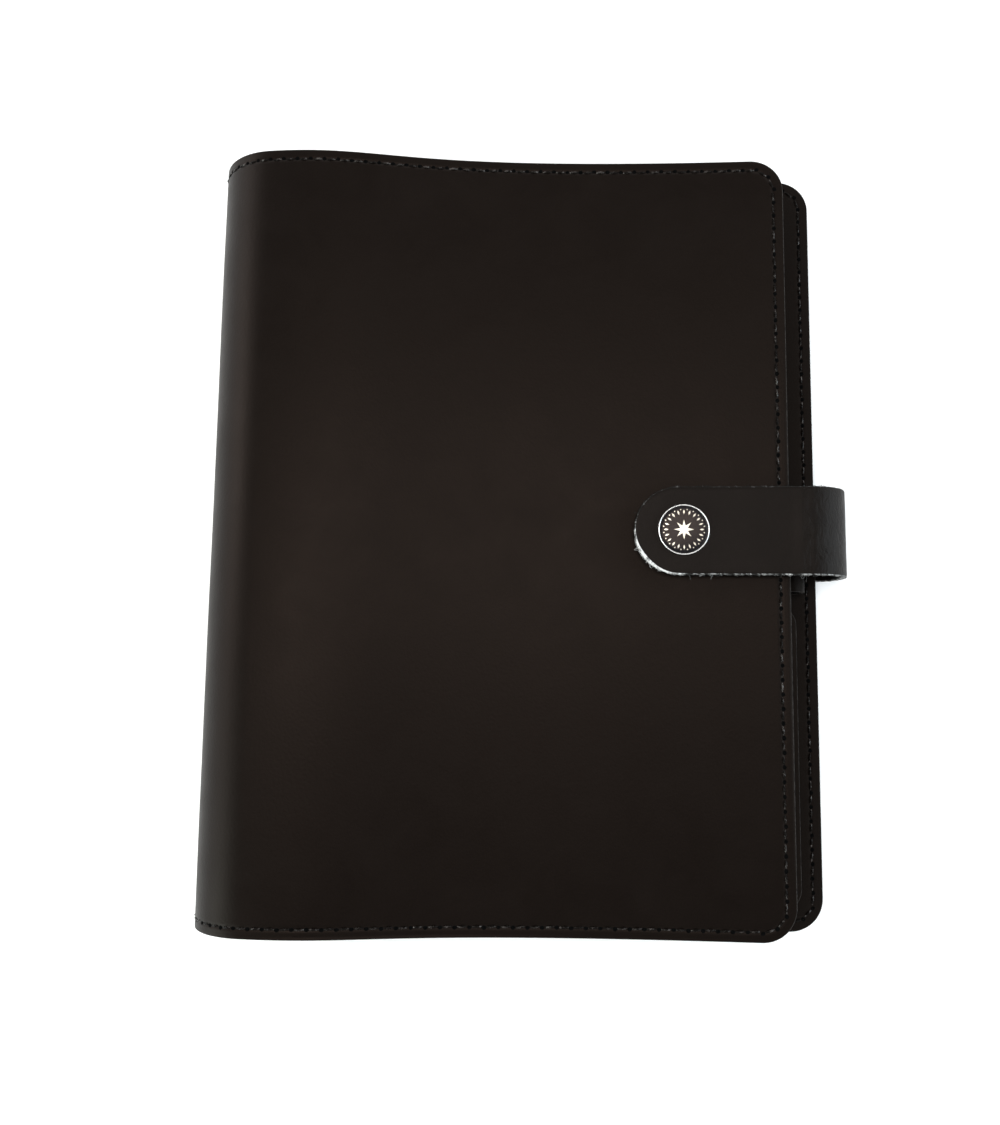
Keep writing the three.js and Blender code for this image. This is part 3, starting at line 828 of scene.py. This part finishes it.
def plate(name, rows, columns, point, material, is_open=lambda r, c: False):
    """A plate of two layers over a grid of cells, walled round its rim and its open cells.

    point(row, column, layer) is the place of a corner of the grid.
    """
    verts = [point(r, c, layer) for layer in (0, 1) for r in range(rows + 1) for c in range(columns + 1)]
    width = columns + 1
    size = width * (rows + 1)
    cells = [(r, c) for r in range(rows) for c in range(columns) if not is_open(r, c)]
    filled = set(cells)
    faces = []
    for r, c in cells:
        a, b = r * width + c, (r + 1) * width + c
        faces.append((a, a + 1, b + 1, b))
        faces.append((size + a, size + b, size + b + 1, size + a + 1))
        for dr, dc, p, q in ((-1, 0, a, a + 1), (1, 0, b, b + 1), (0, -1, a, b), (0, 1, a + 1, b + 1)):
            if (r + dr, c + dc) not in filled:
                faces.append((p, q, size + q, size + p))
    used, faces = renumbered(faces)
    return closed_mesh(name, [verts[v] for v in used], faces, material)


def soften_edges(piece, width):
    """A small rounded edge wherever faces meet sharply."""
    bevel = piece.modifiers.new("soft_edges", "BEVEL")
    bevel.width = width
    bevel.segments = 3
    bevel.limit_method = "ANGLE"
    bevel.angle_limit = math.radians(40)
    bevel.harden_normals = True


def finished(piece, body, slot, *nodes):
    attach(piece, body)
    if nodes:
        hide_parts(*nodes)
    return piece


# ---- the cover
# Each fold's piece reaches from the middle of one rigid strip to the middle of the next:
# its name, the two bodies, the angles on the spine where it bends, and the CAD strips it stands for.
FOLDS = [
    ("back", "back_cover", "back_hinge", 270, 225, ["back"]),
    ("spine_back", "back_hinge", "spine", 225, 180, ["back_hinge"]),
    ("spine_front", "spine", "front_hinge", 180, 135, ["spine", "front_hinge"]),
    ("front", "front_hinge", "front_cover", 135, 90, ["front"]),
]
FOLD_CUTS = [on_spine(225), on_spine(180), on_spine(135)]
RIM_INSETS = [x * MM for x in (0.6, 1.2, 1.8, 2.1, 2.4, 2.7, 3.0, 3.3, 3.6, 3.9, 4.3, 5.0, 6.2, 8.0, 10)]
BOOK_MARKS = marks_through(
    [CORNER_RADIUS, *(on_spine(angle) for angle in (270, 225, 180, 135, 90)), BOOK.length - CORNER_RADIUS],
    [3 * MM, 1.2 * MM, 1.2 * MM, 1.2 * MM, 1.2 * MM, 2.5 * MM],
)


class SpineLiningLine(Line):
    """The book line, with the lining held off the spine by its board."""

    def at(self, s, y, depth):
        away = abs(s - on_spine(180)) / (9.5 * MM)
        held = 1 if away < 0.8 else max(0.0, 1 - (away - 0.8) / 0.45)
        return super().at(s, y, depth + SPINE_LINING_DROP * held * held * (3 - 2 * held))


LINED_BOOK = SpineLiningLine(BOOK.xz, -1)


def bend(piece, fold, line=BOOK, reached=on_spine):
    """Bakes a piece's transform into its mesh; the ends of its fold on the line are found but not used.
    reached gives how far along the line an angle lies.
    """
    _, first, second, low, high, _ = fold
    start, end = (line.at(reached(angle), 0, 0) for angle in (low, high))
    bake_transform(piece)
    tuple(start)
    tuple(end)


def sewn_groove(inset, middle=STITCH_INSET, half=0.9 * MM, depth=0.16 * MM):
    """How far the seam pulls the leather in, at an inset from its rim."""
    away = abs(inset - middle) / half
    return depth * (1 - away) ** 2 * (1 + 2 * away) if away < 1 else 0.0


def hand(s, y, size, depth):
    """Slow swells of worked leather."""
    return depth * noise.noise(Vector((s / size, y / size, 3.7)))


def cover_relief(s, y, inset):
    return sewn_groove(inset) + hand(s, y, 70 * MM, 0.22 * MM) + hand(s, y, 25 * MM, 0.05 * MM)


def lining_relief(s, y, inset):
    return -sewn_groove(inset, depth=0.12 * MM)


def make_wrap(layer, strip, line, trim, depths, bevel, relief, material):
    """One skin of the cover in four pieces, each bent over its fold. strip ends its CAD nodes' names."""
    s_low, s_high, y_low, y_high = BOOK_BOX
    box = (s_low + trim, s_high - trim, y_low + trim, y_high - trim)
    corners = (CORNER_RADIUS, CORNER_RADIUS)
    sheet = Sheet(line, box, corners, depths, RIM_INSETS, BOOK_MARKS, 3 * MM, bevel, relief)
    pieces = sheet.pieces([f"{layer}_{name}" for name, *_ in FOLDS], FOLD_CUTS, [material, CUT_EDGE])
    for piece, fold in zip(pieces, FOLDS):
        bend(piece, fold)
        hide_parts(*[f"{node}_{strip}" for node in fold[-1]])


# ---- sewing
def rim_path(box, bend, inset, pitch):
    """Even places with their headings along a closed path in a box, at an inset from its rim."""
    arcs = [corner_arc(box, corner, inset + bend, inset, 18) for corner in CORNERS]
    outline = np.array([*sum(arcs, []), arcs[0][0]])
    walked = np.concatenate([[0], np.cumsum(np.linalg.norm(np.diff(outline, axis=0), axis=1))])
    count = max(1, round(walked[-1] / pitch))
    places = []
    for i in range(count):
        here = walked[-1] * (i + 0.5) / count
        point = [float(np.interp(here, walked, outline[:, k])) for k in (0, 1)]
        beyond = [float(np.interp(here + 0.05 * MM, walked, outline[:, k])) for k in (0, 1)]
        places.append((*point, math.atan2(beyond[1] - point[1], beyond[0] - point[0])))
    return places


def rim_distance(s, y, box, radius):
    """How far (s, y) lies inside a rounded box."""
    s_low, s_high, y_low, y_high = box
    past_s = max(s_low + radius - s, s - s_high + radius)
    past_y = max(y_low + radius - y, y - y_high + radius)
    if past_s > 0 and past_y > 0:
        return radius - math.hypot(past_s, past_y)
    return radius - max(past_s, past_y)


class Sewing:
    """Stitches on the faces of sheets, gathered into one thread and one set of dark discs, painted shade for
    the needle holes.
    """

    def __init__(self):
        self.thread, self.hole_shades = Tubes(), Tubes()

    def stitch(self, line, s, y, heading, surface, outward, pitch):
        """One stitch: thread that rises from one needle hole and dips into the next.

        surface gives the sheet's depth at (s, y), and outward is -1 where the stitch lies on its outer face.
        """
        half = pitch * STITCH_SHARE
        slant = heading + chance.uniform(-0.05, 0.05) + STITCH_SLANT
        off = chance.uniform(-0.05, 0.05) * MM
        ahead = (math.cos(slant), math.sin(slant))
        points, radii = [], []
        for i in range(STITCH_POINTS):
            t = 2 * i / (STITCH_POINTS - 1) - 1
            lift = THREAD_RADIUS * (0.35 - 1.6 * t * t)
            here = (s + ahead[0] * half * t - ahead[1] * off, y + ahead[1] * half * t + ahead[0] * off)
            points.append(line.at(*here, surface(*here) + outward * lift))
            radii.append(THREAD_RADIUS * (1.04 - 0.22 * t * t))
        up = (line.at(s, y, outward * MM) - line.at(s, y, 0)).normalized()
        self.thread.add(points, radii, THREAD_SIDES, up)
        for ring in range(STITCH_POINTS):
            along = s + half * ring / 4
            self.thread.places += [(along, y + side * 0.25 * MM) for side in range(THREAD_SIDES)]
        self.needle_hole_shade(line, s - ahead[0] * pitch / 2, y - ahead[1] * pitch / 2, slant, surface, outward)

    def needle_hole_shade(self, line, s, y, heading, surface, outward):
        """A shallow dark lens that lies on the sheet's face: painted shade standing for the needle hole."""
        hole_shades = self.hole_shades
        start = len(hole_shades.verts)
        long, wide = (chance.uniform(0.9, 1.1) * reach for reach in (HOLE_LONG, HOLE_WIDE))
        for share, rise in ((1, -0.02), (0.8, 0.035), (0, 0.02)):
            for cos, sin in around(HOLE_SIDES if share else 1):
                u, v = share * long * cos, share * wide * sin
                here = (
                    s + u * math.cos(heading) - v * math.sin(heading),
                    y + u * math.sin(heading) + v * math.cos(heading),
                )
                hole_shades.verts.append(line.at(*here, surface(*here) + outward * rise * MM))
                hole_shades.places.append(here)
        hole_shades.verts.append(line.at(s, y, surface(s, y) - outward * 0.3 * MM))
        hole_shades.places.append((s, y))
        outer, inner = range(start, start + HOLE_SIDES), range(start + HOLE_SIDES, start + 2 * HOLE_SIDES)
        middle, back = ([start + 2 * HOLE_SIDES + k] * HOLE_SIDES for k in (0, 1))
        hole_shades.faces += [*band(back, outer), *band(outer, inner), *band(inner, middle)]

    def finish(self, name):
        return [self.thread.made(f"{name}_thread", THREAD), self.hole_shades.made(f"{name}_holes", HOLE_SHADE)]


def outer_face(s, y):
    return cover_relief(s, y, rim_distance(s, y, BOOK_BOX, CORNER_RADIUS))


def inner_face(s, y):
    return LINED + lining_relief(s, y, rim_distance(s, y, BOOK_BOX, CORNER_RADIUS))


def sew_cover():
    path = rim_path(BOOK_BOX, STITCH_CORNER, STITCH_INSET, STITCH_PITCH)
    for fold, low, high in zip(FOLDS, [-1e9, *FOLD_CUTS], [*FOLD_CUTS, 1e9]):
        sewing = Sewing()
        for s, y, heading in path:
            if low <= s < high:
                sewing.stitch(BOOK, s, y, heading, outer_face, -1, STITCH_PITCH)
                sewing.stitch(LINED_BOOK, s, y, heading, inner_face, 1, STITCH_PITCH)
        for piece in sewing.finish(f"seam_{fold[0]}"):
            bend(piece, fold)


# ---- the strap
def strap_turned(turn):
    """How far along the strap line it has turned through an angle, in degrees."""
    loop = Line(STRAP_LOOP, 1)
    walked = np.interp(turn, np.linspace(0, 180, len(loop.walked)), loop.walked)
    return STRAP_TURN_LOW_X - STRAP_ROOT_X + float(walked)


STRAP_CUTS = [strap_turned(45), strap_turned(90), strap_turned(135)]
# Each bend's piece: its name, the two bodies, the angles where it bends, and the CAD nodes it stands for.
STRAP_BENDS = [
    ("strap_root_part", "back_cover", "strap_1", 0, 45, ["strap_root"]),
    ("strap_bend_low", "strap_1", "strap_2", 45, 90, ["strap_bend_1"]),
    ("strap_bend_high", "strap_2", "strap_3", 90, 135, ["strap_bend_2"]),
    ("strap_flap_part", "strap_3", "strap_end", 135, 180, ["strap_bend_3", "strap_flap"]),
]


def strap_relief(s, y, inset):
    """Pressed-in crease lines where the strap bends, and slow swells."""
    bend = math.exp(-(((s - STRAP_CUTS[2]) / (9 * MM)) ** 2))
    creases = noise.noise(Vector((s / (1.5 * MM), y / (3.5 * MM), 8.1)))
    return hand(s, y, 18 * MM, 0.1 * MM) + 0.06 * MM * bend * creases


def tip_skive(s, y):
    """How much wider the pale cut edge is: most at the foot side of the tip."""
    turn = math.atan2(y - STRAP_Y, s - TIP_CENTRE)
    return TIP_SKIVE * math.exp(-(((turn - TIP_LIT_TURN) / TIP_WEAR_SPREAD) ** 2))


def make_strap():
    insets = [x * MM for x in (1.2, 1.6, 2.4, 3.6, 5, 7, 9, 11)] + [STRAP_HALF]
    marks = marks_through(
        [STRAP_HALF, strap_turned(0), *STRAP_CUTS, strap_turned(180), TIP_CENTRE],
        [3 * MM, 0.6 * MM, 0.6 * MM, 0.6 * MM, 0.6 * MM, 0.5 * MM],
    )
    sheet = Sheet(
        STRAP_LINE, STRAP_BOX, (3 * MM, STRAP_HALF), (0, STRAP), insets, marks,
        3 * MM, 0.27 * MM, strap_relief, STRAP_RAGGED, tip_skive,
    )
    pieces = sheet.pieces([name for name, *_ in STRAP_BENDS], STRAP_CUTS, [STRAP_LEATHER, RAW_EDGE])
    for piece, fold in zip(pieces, STRAP_BENDS):
        bend(piece, fold, STRAP_LINE, strap_turned)
        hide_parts(*fold[-1])


def sew_strap_root():
    """A box of stitches that holds the strap's root to the back cover."""
    sewing = Sewing()
    box = (1 * MM, ROOT_SEAM_END, STRAP_Y - STRAP_HALF + 0.2 * MM, STRAP_Y + STRAP_HALF - 0.2 * MM)
    for s, y, heading in rim_path(box, 0.5 * MM, 2.5 * MM, ROOT_PITCH):
        sewing.stitch(STRAP_LINE, s, y, heading, lambda s, y: 0.35 * MM, -1, ROOT_PITCH)
    for piece in sewing.finish("strap_root_seam"):
        finished(piece, "back_cover", "strap_leather")


def clumps(s, y):
    return noise.noise(Vector((s / (1.5 * MM), y / (1.5 * MM), 5.5)))


def fray_strap():
    """Loose fibres along the strap's cut edge, a few of them long."""
    fibres = Tubes()
    start = strap_turned(90)
    for s, y, heading in rim_path((start, *STRAP_BOX[1:]), STRAP_HALF, 0, 0.1 * MM):
        if s < start + STRAP_HALF or chance.random() < 0.3 + 0.9 * clumps(s, y):
            continue
        away = heading - math.pi / 2 + chance.uniform(-0.9, 0.9)
        length = chance.uniform(*SHORT_FIBRE)
        if chance.random() < LONG_FIBRE_SHARE:
            length = chance.uniform(*LONG_FIBRE)
        depth = chance.uniform(0.1, 0.95) * STRAP
        curl = chance.uniform(-0.8, 0.8)
        points, radii = [], []
        for t in (0, 1 / 3, 2 / 3, 1):
            turn = away + curl * t
            here = (s + length * t * math.cos(turn), y + length * t * math.sin(turn))
            points.append(STRAP_LINE.at(*here, depth - 0.2 * MM * t * t))
            radii.append(FIBRE_RADIUS * (1 - 0.5 * t))
        fibres.add(points, radii, 4, Vector((0.3, 0.2, 1)))
        # Each fibre takes the raw edge's colour, painted highlight included, from its root's place on the
        # strap.
        fibres.places += [(s, y)] * (len(fibres.verts) - len(fibres.places))
    finished(fibres.made("strap_fibres", RAW_EDGE), "strap_end", "strap_leather")


# ---- the press stud
def snap_stand():
    """The frame whose z leaves the front cover at the press stud."""
    s = on_front(SNAP_X)
    foot = BOOK.at(s, STRAP_Y, 0)
    up = (BOOK.at(s, STRAP_Y, -MM) - foot).normalized()
    along = Vector((0, 1, 0)).cross(up)
    turn = Matrix((along, Vector((0, 1, 0)), up)).transposed()
    return Matrix.Translation(foot) @ turn.to_4x4()


def shifted(points, radius=0.0, height=0.0):
    """A lathe profile from points in millimetres, moved out to a radius and up to a height."""
    return [(radius + r * MM, height + h * MM) for r, h in points]


def cap_height(radius):
    """The height of the cap's slightly domed face at a radius."""
    return CAP_CROWN - CAP_DISH * (radius / CAP_FIELD_RADIUS) ** 2


def star(points, outer, inner):
    """The outline of a flat star."""
    turns = around(2 * points, first=math.pi / 2)
    return [(r * cos, r * sin) for r, (cos, sin) in zip([outer, inner] * points, turns)]


def lozenge(turn, middle, half_long, half_wide):
    """The outline of a lozenge that points away from the centre."""
    out, side = Vector((math.cos(turn), math.sin(turn))), Vector((-math.sin(turn), math.cos(turn)))
    return [
        out * (middle + half_long),
        out * middle + side * half_wide,
        out * (middle - half_long),
        out * middle - side * half_wide,
    ]


def make_motif(place):
    """A plain ornament inlaid in the cap: a star in a ring of lozenges."""
    outlines = [star(8, 2.9 * MM, 1.15 * MM)]
    for k in range(LOZENGES):
        turn = 2 * math.pi * k / LOZENGES
        outlines.append(lozenge(turn, 5.2 * MM, 0.7 * MM, 0.27 * MM))
        outlines.append(lozenge(turn + math.pi / LOZENGES, 5.95 * MM, 0.24 * MM, 0.19 * MM))
    verts, faces = [], []
    for outline in outlines:
        start, count = len(verts), len(outline)
        for rise in (-0.2 * MM, 0.06 * MM):
            verts += [place @ Vector((x, y, cap_height(math.hypot(x, y)) + rise)) for x, y in outline]
        foot, top = range(start, start + count), range(start + count, start + 2 * count)
        faces += [*band(foot, top), tuple(reversed(foot)), tuple(top)]
    finished(closed_mesh("snap_motif", verts, faces, INLAY, smooth=False), "strap_end", "snap_cap")


def make_snap():
    place = snap_stand()
    rim = shifted(
        [(-0.42, 0.95), (-0.38, 1.14), (-0.22, 1.2), (-0.08, 1.1), (-0.02, 0.8), (-0.1, 0.35),
         (-0.4, 0.08), (-1.2, 0.03), (-0.42, 0.95)],
        CAP_RADIUS, CAP_FOOT,
    )
    finished(lathe("snap_rim", rim, 72, NICKEL, place), "strap_end", "snap_cap", "snap_cap")
    radii = [CAP_FIELD_RADIUS * k / 8 for k in range(9)]
    field = [(radius, cap_height(radius)) for radius in radii]
    field += [(CAP_FIELD_RADIUS, CAP_FOOT + 0.5 * MM), (0, CAP_FOOT + 0.5 * MM)]
    finished(lathe("snap_field", field, 72, ENAMEL, place), "strap_end", "snap_cap")
    make_motif(place)
    post = shifted([(0, 0), (1.9, 0), (2, 0.1), (2, 2.2), (0, 2.2)], height=FLAP_GAP)
    socket = shifted([
        (2.3, 1.1), (2.5, 1), (4.4, 1), (4.85, 1.15), (5, 1.5), (5, 2.25), (2.6, 2.25), (2.3, 1.9),
        (2.3, 1.1),
    ])
    stud = shifted([
        (0, 1.9), (1.2, 1.88), (1.65, 1.7), (1.88, 1.4), (1.8, 1.1), (1.65, 0.95), (1.75, 0.82), (3, 0.7),
        (4.2, 0.62), (4.5, 0.45), (4.5, -0.1), (0, -0.1),
    ])
    back = shifted([(0, 0), (3.6, 0), (3.6, 0.5), (0.8, 0.6), (0.8, 1.6), (0, 1.6)], height=-LEATHER)
    for name, profile, sides, body, nodes in (
        ("snap_cap_post", post, 32, "strap_end", []),
        ("snap_socket_ring", socket, 48, "strap_end", ["snap_socket"]),
        ("snap_stud_head", stud, 48, "front_cover", ["snap_stud"]),
        ("snap_back_post", back, 32, "front_cover", ["snap_post"]),
    ):
        finished(lathe(name, profile, sides, NICKEL, place), body, "snap_metal", *nodes)


# ---- pockets and pen loop
def panel_relief(s, y, inset):
    return hand(s, y, 30 * MM, 0.1 * MM) - sewn_groove(inset, PANEL_STITCH_INSET, 0.6 * MM, 0.1 * MM)


def make_panel(name, node, cover, x_range, y_range, far_corner, depth, is_sewn):
    """A thin leather panel on a cover's lining. x_range is from its spine side to its fore-edge side.

    is_sewn takes a place's gaps to the panel's four sides: low s, high s, foot and head.
    """
    radii = (SMALL_CORNER, far_corner)
    if cover == "front":
        s_low, s_high = (on_front(x) for x in x_range)
    else:
        s_high, s_low = (BACK_LINE.at_x(x) for x in x_range)
        radii = radii[::-1]
    box = (s_low, s_high, *y_range)
    insets = [x * MM for x in (0.5, 1.0, 1.7, 2.0, 2.3, 3, 4, 5, 6)]
    marks = steps_between(s_low, s_high, 3 * MM)
    face_depth = depth + THIN_LEATHER
    sheet = Sheet(BOOK, box, radii, (face_depth, depth), insets, marks, 4 * MM, 0.18 * MM, panel_relief)
    piece = sheet.pieces([name], [], [POCKET_LEATHER, CUT_EDGE])[0]
    finished(piece, f"{cover}_cover", "pocket_leather", node)

    def face(s, y):
        return face_depth + panel_relief(s, y, rim_distance(s, y, box, far_corner))

    sewing = Sewing()
    bend = max(far_corner - PANEL_STITCH_INSET, 0.3 * MM)
    for s, y, heading in rim_path(box, bend, PANEL_STITCH_INSET, PANEL_PITCH):
        if is_sewn([s - s_low, s_high - s, y - y_range[0], y_range[1] - y]):
            sewing.stitch(BOOK, s, y, heading, face, 1, PANEL_PITCH)
    for seam in sewing.finish(f"{name}_seam"):
        finished(seam, f"{cover}_cover", "pocket_leather")


def make_pockets():
    foot = POCKET_MARGIN - HALF_HEIGHT
    front_x = FRONT_EDGE_X - POCKET_MARGIN
    make_panel(
        "front_slip_pocket", "front_pocket", "front", (POCKET_MOUTH_X, front_x), (foot, -foot),
        POCKET_CORNER, POCKET_DEPTH, lambda gaps: gaps[0] > UNSEWN,
    )
    make_panel(
        "back_note_pocket", "back_pocket", "back", (POCKET_MOUTH_X, BACK_EDGE_X - POCKET_MARGIN),
        (foot, NOTE_POCKET_TOP), POCKET_CORNER, POCKET_DEPTH, lambda gaps: gaps[3] > UNSEWN,
    )
    card_range = (front_x - CARD_LENGTH - 1 * MM, front_x - 1 * MM)
    y = foot + 3 * MM
    for i, height in enumerate(CARD_HEIGHTS):
        make_panel(
            f"card_slot_{i + 1}", f"card_pocket_{i + 1}", "front", card_range, (y, y + height),
            SMALL_CORNER, CARD_DEPTH, lambda gaps, sewn=3 if i == 0 else 2: min(gaps[:sewn]) < UNSEWN,
        )
        y += height + 0.3 * MM


def make_pen_loop():
    """A thin leather tube with its tab, as one strip rolled on itself."""
    low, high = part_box("pen_loop")
    centre = (high.x - LEFT - PEN_LOOP_RADIUS, high.z - PEN_LOOP_RADIUS)
    rolled = arc(centre, PEN_LOOP_RADIUS, -90, 262, 300)
    line = Line(strung(straight((low.x - LEFT, low.z), rolled[0], 60), rolled), 1)
    insets = [x * MM for x in (0.4, 0.8, 1.4, 2.2, 3)]
    marks = steps_between(3 * MM, line.length - 3 * MM, 0.7 * MM)
    box = (0, line.length, low.y, high.y)
    sheet = Sheet(line, box, (1 * MM, 0.3 * MM), (0, THIN_LEATHER), insets, marks, 3 * MM, 0.15 * MM)
    piece = sheet.pieces(["pen_loop_strip"], [], [LOOP_LEATHER_PAINTED_SHADE, CUT_EDGE])[0]
    finished(piece, "back_cover", "pen_loop_leather", "pen_loop")


# ---- the ring mechanism
def make_ring_half(leaf, side, number, y):
    """A wire half ring that ends on a straight foot in the shell."""
    tip = 0.12 * MM / RING_RADIUS
    wire = []
    for k in range(RING_STEPS + 1):
        angle = tip + (RING_END_ANGLE - tip) * k / RING_STEPS
        x = LEFT + RING_CENTRE_X + RING_RADIUS * math.cos(angle)
        wire.append(Vector((x, y, SPINE_RADIUS + side * RING_RADIUS * math.sin(angle))))
    radii = [RING_WIRE * 0.82, RING_WIRE * 0.97, *[RING_WIRE] * (RING_STEPS - 1)]
    half_ring = Tubes()
    half_ring.add(wire, radii, RING_SIDES, Vector((0, 1, 0)))
    end = wire[-1]
    foot_x = LEFT + SHELL_BASE_X + 1.6 * MM
    stem = [Vector((x, y, end.z)) for x in (end.x + 0.4 * MM, end.x, (end.x + foot_x) / 2, foot_x)]
    half_ring.add(stem, [1.15 * MM, 1.2 * MM, 1.15 * MM, RING_WIRE], RING_SIDES, Vector((0, 1, 0)))
    piece = half_ring.made(f"ring_half_{leaf}_{number}", NICKEL)
    finished(piece, f"blade_{leaf}", "ring_wire", f"ring_{leaf}_{number}")


def make_rings():
    for leaf, side in (("front", 1), ("back", -1)):
        for number, y in enumerate(RING_YS, 1):
            make_ring_half(leaf, side, number, y)


def make_shell():
    """The arched sheet-steel cover of the mechanism, with a notch for each ring's foot."""
    notches = [y + reach for y in RING_YS for reach in (-NOTCH_HALF, NOTCH_HALF)]
    stops = [-SHELL_HALF_LENGTH, *notches, SHELL_HALF_LENGTH]
    ys = marks_through(stops, [4 * MM] * (len(stops) - 1))
    angles = sorted([math.radians(a) for a in range(-90, 91, 5)] + [-NOTCH_START, NOTCH_START])

    def point(r, c, layer):
        inset = (0, SHELL_WALL)[layer]
        return Vector((
            LEFT + SHELL_BASE_X + (SHELL_RISE - inset) * math.cos(angles[c]),
            ys[r],
            SPINE_RADIUS + (SHELL_HALF_WIDTH - inset) * math.sin(angles[c]),
        ))

    def is_notch(r, c):
        middle_y = (ys[r] + ys[r + 1]) / 2
        at_ring = any(abs(middle_y - y) < NOTCH_HALF for y in RING_YS)
        return at_ring and abs(angles[c] + angles[c + 1]) / 2 > NOTCH_START

    piece = plate("mechanism_shell", len(ys) - 1, len(angles) - 1, point, SHEET_STEEL, is_notch)
    soften_edges(piece, 0.15 * MM)
    finished(piece, "spine", "mechanism_steel", "ring_shell")


def make_lever(end, side):
    """A thumb lever: an upright web that curls outwards into a tab with rounded corners."""
    low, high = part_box(f"lever_{end}")
    inner, outer = (low.y, high.y) if side > 0 else (-high.y, -low.y)
    top = high.x - LEFT - LEVER_WALL / 2
    web = inner + LEVER_WALL / 2
    path = [(low.x - LEFT, web), (top - LEVER_BEND, web)]
    for turn in (math.radians(a) for a in range(15, 91, 15)):
        path.append((top - LEVER_BEND + LEVER_BEND * math.sin(turn), web + LEVER_BEND * (1 - math.cos(turn))))
    path += [(top, outer - 0.6 * MM), (top - 0.25 * MM, outer)]
    counts = [max(1, round(math.dist(a, b) / (0.2 * MM))) + 1 for a, b in zip(path, path[1:])]
    line = Line(strung(*map(straight, path, path[1:], counts)), 1)
    half = (high.z - low.z) / 2
    rows = steps_between(0, line.length, 0.5 * MM)

    def point(r, c, layer):
        round_end = min(1, (line.length - rows[r]) / (2 * MM))
        reach = half - 0.8 * MM * (1 - math.sqrt(round_end * (2 - round_end)))
        place = line.at(rows[r], 0, (layer - 0.5) * LEVER_WALL)
        return Vector((place.x, side * place.z, SPINE_RADIUS + reach * (2 * c / LEVER_COLUMNS - 1)))

    piece = plate(f"thumb_lever_{end}", len(rows) - 1, LEVER_COLUMNS, point, SHEET_STEEL)
    soften_edges(piece, 0.2 * MM)
    finished(piece, f"lever_{end}", "mechanism_steel", f"lever_{end}")


def make_mechanism_rivets():
    crown = SHELL_BASE_X + SHELL_RISE
    profile = shifted([(0, 2.2), (1.6, 2.2)])
    profile += shifted([(1.6, 0.02), (3.3, 0.05), (3.4, 0.4), (3, 0.9), (2, 1.25), (0, 1.4)], height=crown)
    for end in ("head", "foot"):
        low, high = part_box(f"rivet_{end}")
        foot = Matrix.Translation((LEFT, (low.y + high.y) / 2, SPINE_RADIUS))
        place = foot @ Matrix.Rotation(math.pi / 2, 4, "Y")
        piece = lathe(f"mechanism_rivet_{end}", profile, 40, NICKEL, place)
        finished(piece, "spine", "mechanism_steel", f"rivet_{end}")


def dress_cad_nodes():
    """The flat hidden pieces keep their CAD shape, with softened edges and real finishes."""
    for name, material, width, slot in (
        ("blade_front", SHEET_STEEL, 0.25 * MM, "mechanism_steel"),
        ("blade_back", SHEET_STEEL, 0.25 * MM, "mechanism_steel"),
        ("spine_board", BOARD, 0.1 * MM, "board"),
    ):
        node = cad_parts[name]
        node.data.materials.clear()
        node.data.materials.append(material)
        soften_edges(node, width)


# ---- camera, floor and light
def make_camera():
    data = bpy.data.cameras.new("camera")
    data.lens = CAMERA_LENS
    data.sensor_width = SENSOR_WIDTH
    data.clip_start = 0.01
    data.clip_end = 20
    camera = placed("camera", data)
    camera.location = CAMERA_PLACE
    camera.rotation_euler = [math.radians(a) for a in CAMERA_TURN]
    bpy.context.scene.camera = camera


def make_floor():
    """A pale floor that glows faintly, so that it is white all over the picture."""
    finish, _ = speckled(
        "pale_floor", 3, 2, 0.5, [(0.3, [0.92] * 3), (0.7, [0.95] * 3)],
        Roughness=0.9, Specular_IOR_Level=0.1, Emission_Color=(1, 0.98, 0.95, 1), Emission_Strength=0.2,
    )
    corners = [(x * FLOOR_HALF, y * FLOOR_HALF, 0) for x, y in ((-1, -1), (1, -1), (1, 1), (-1, 1))]
    new_object("floor", corners, [(0, 1, 2, 3)], [finish.material], smooth=False)


def make_sky():
    """Soft light from all round, bright at the horizon and dim overhead."""
    world = bpy.data.worlds.new("studio")
    bpy.context.scene.world = world
    world.use_nodes = True
    wiring = Wiring(world.node_tree)
    height = wiring.split(wiring.node("TexCoord").outputs["Generated"], "Z")
    background = wiring.node("Background", Color=wiring.ramp(height, *SKY_TONES), Strength=1.0)
    wiring.node("OutputWorld", Surface=background.outputs["Background"])


def make_light(name, place, target, size, power, colour):
    data = bpy.data.lights.new(name, "AREA")
    data.shape = "RECTANGLE"
    data.size, data.size_y = size
    data.energy = power
    data.color = colour
    lamp = placed(name, data)
    lamp.location = place
    lamp.rotation_euler = (Vector(target) - Vector(place)).to_track_quat("-Z", "Y").to_euler()


make_camera()
make_floor()
make_sky()
for light in LIGHTS:
    make_light(*light)
bpy.context.scene.view_settings.view_transform = "Standard"
bpy.context.scene.view_settings.exposure = EXPOSURE

make_wrap("cover", "leather", BOOK, 0, (0, LEATHER_SHOWN), 0.25 * MM, cover_relief, COVER_LEATHER)
make_wrap(
    "lining", "lining", LINED_BOOK, LINING_TRIM, (LINED, LEATHER_SHOWN), 0.2 * MM, lining_relief,
    LINING_LEATHER,
)
sew_cover()
make_strap()
sew_strap_root()
fray_strap()
make_snap()
make_pockets()
make_pen_loop()
make_rings()
make_shell()
make_lever("head", 1)
make_lever("foot", -1)
make_mechanism_rivets()
dress_cad_nodes()
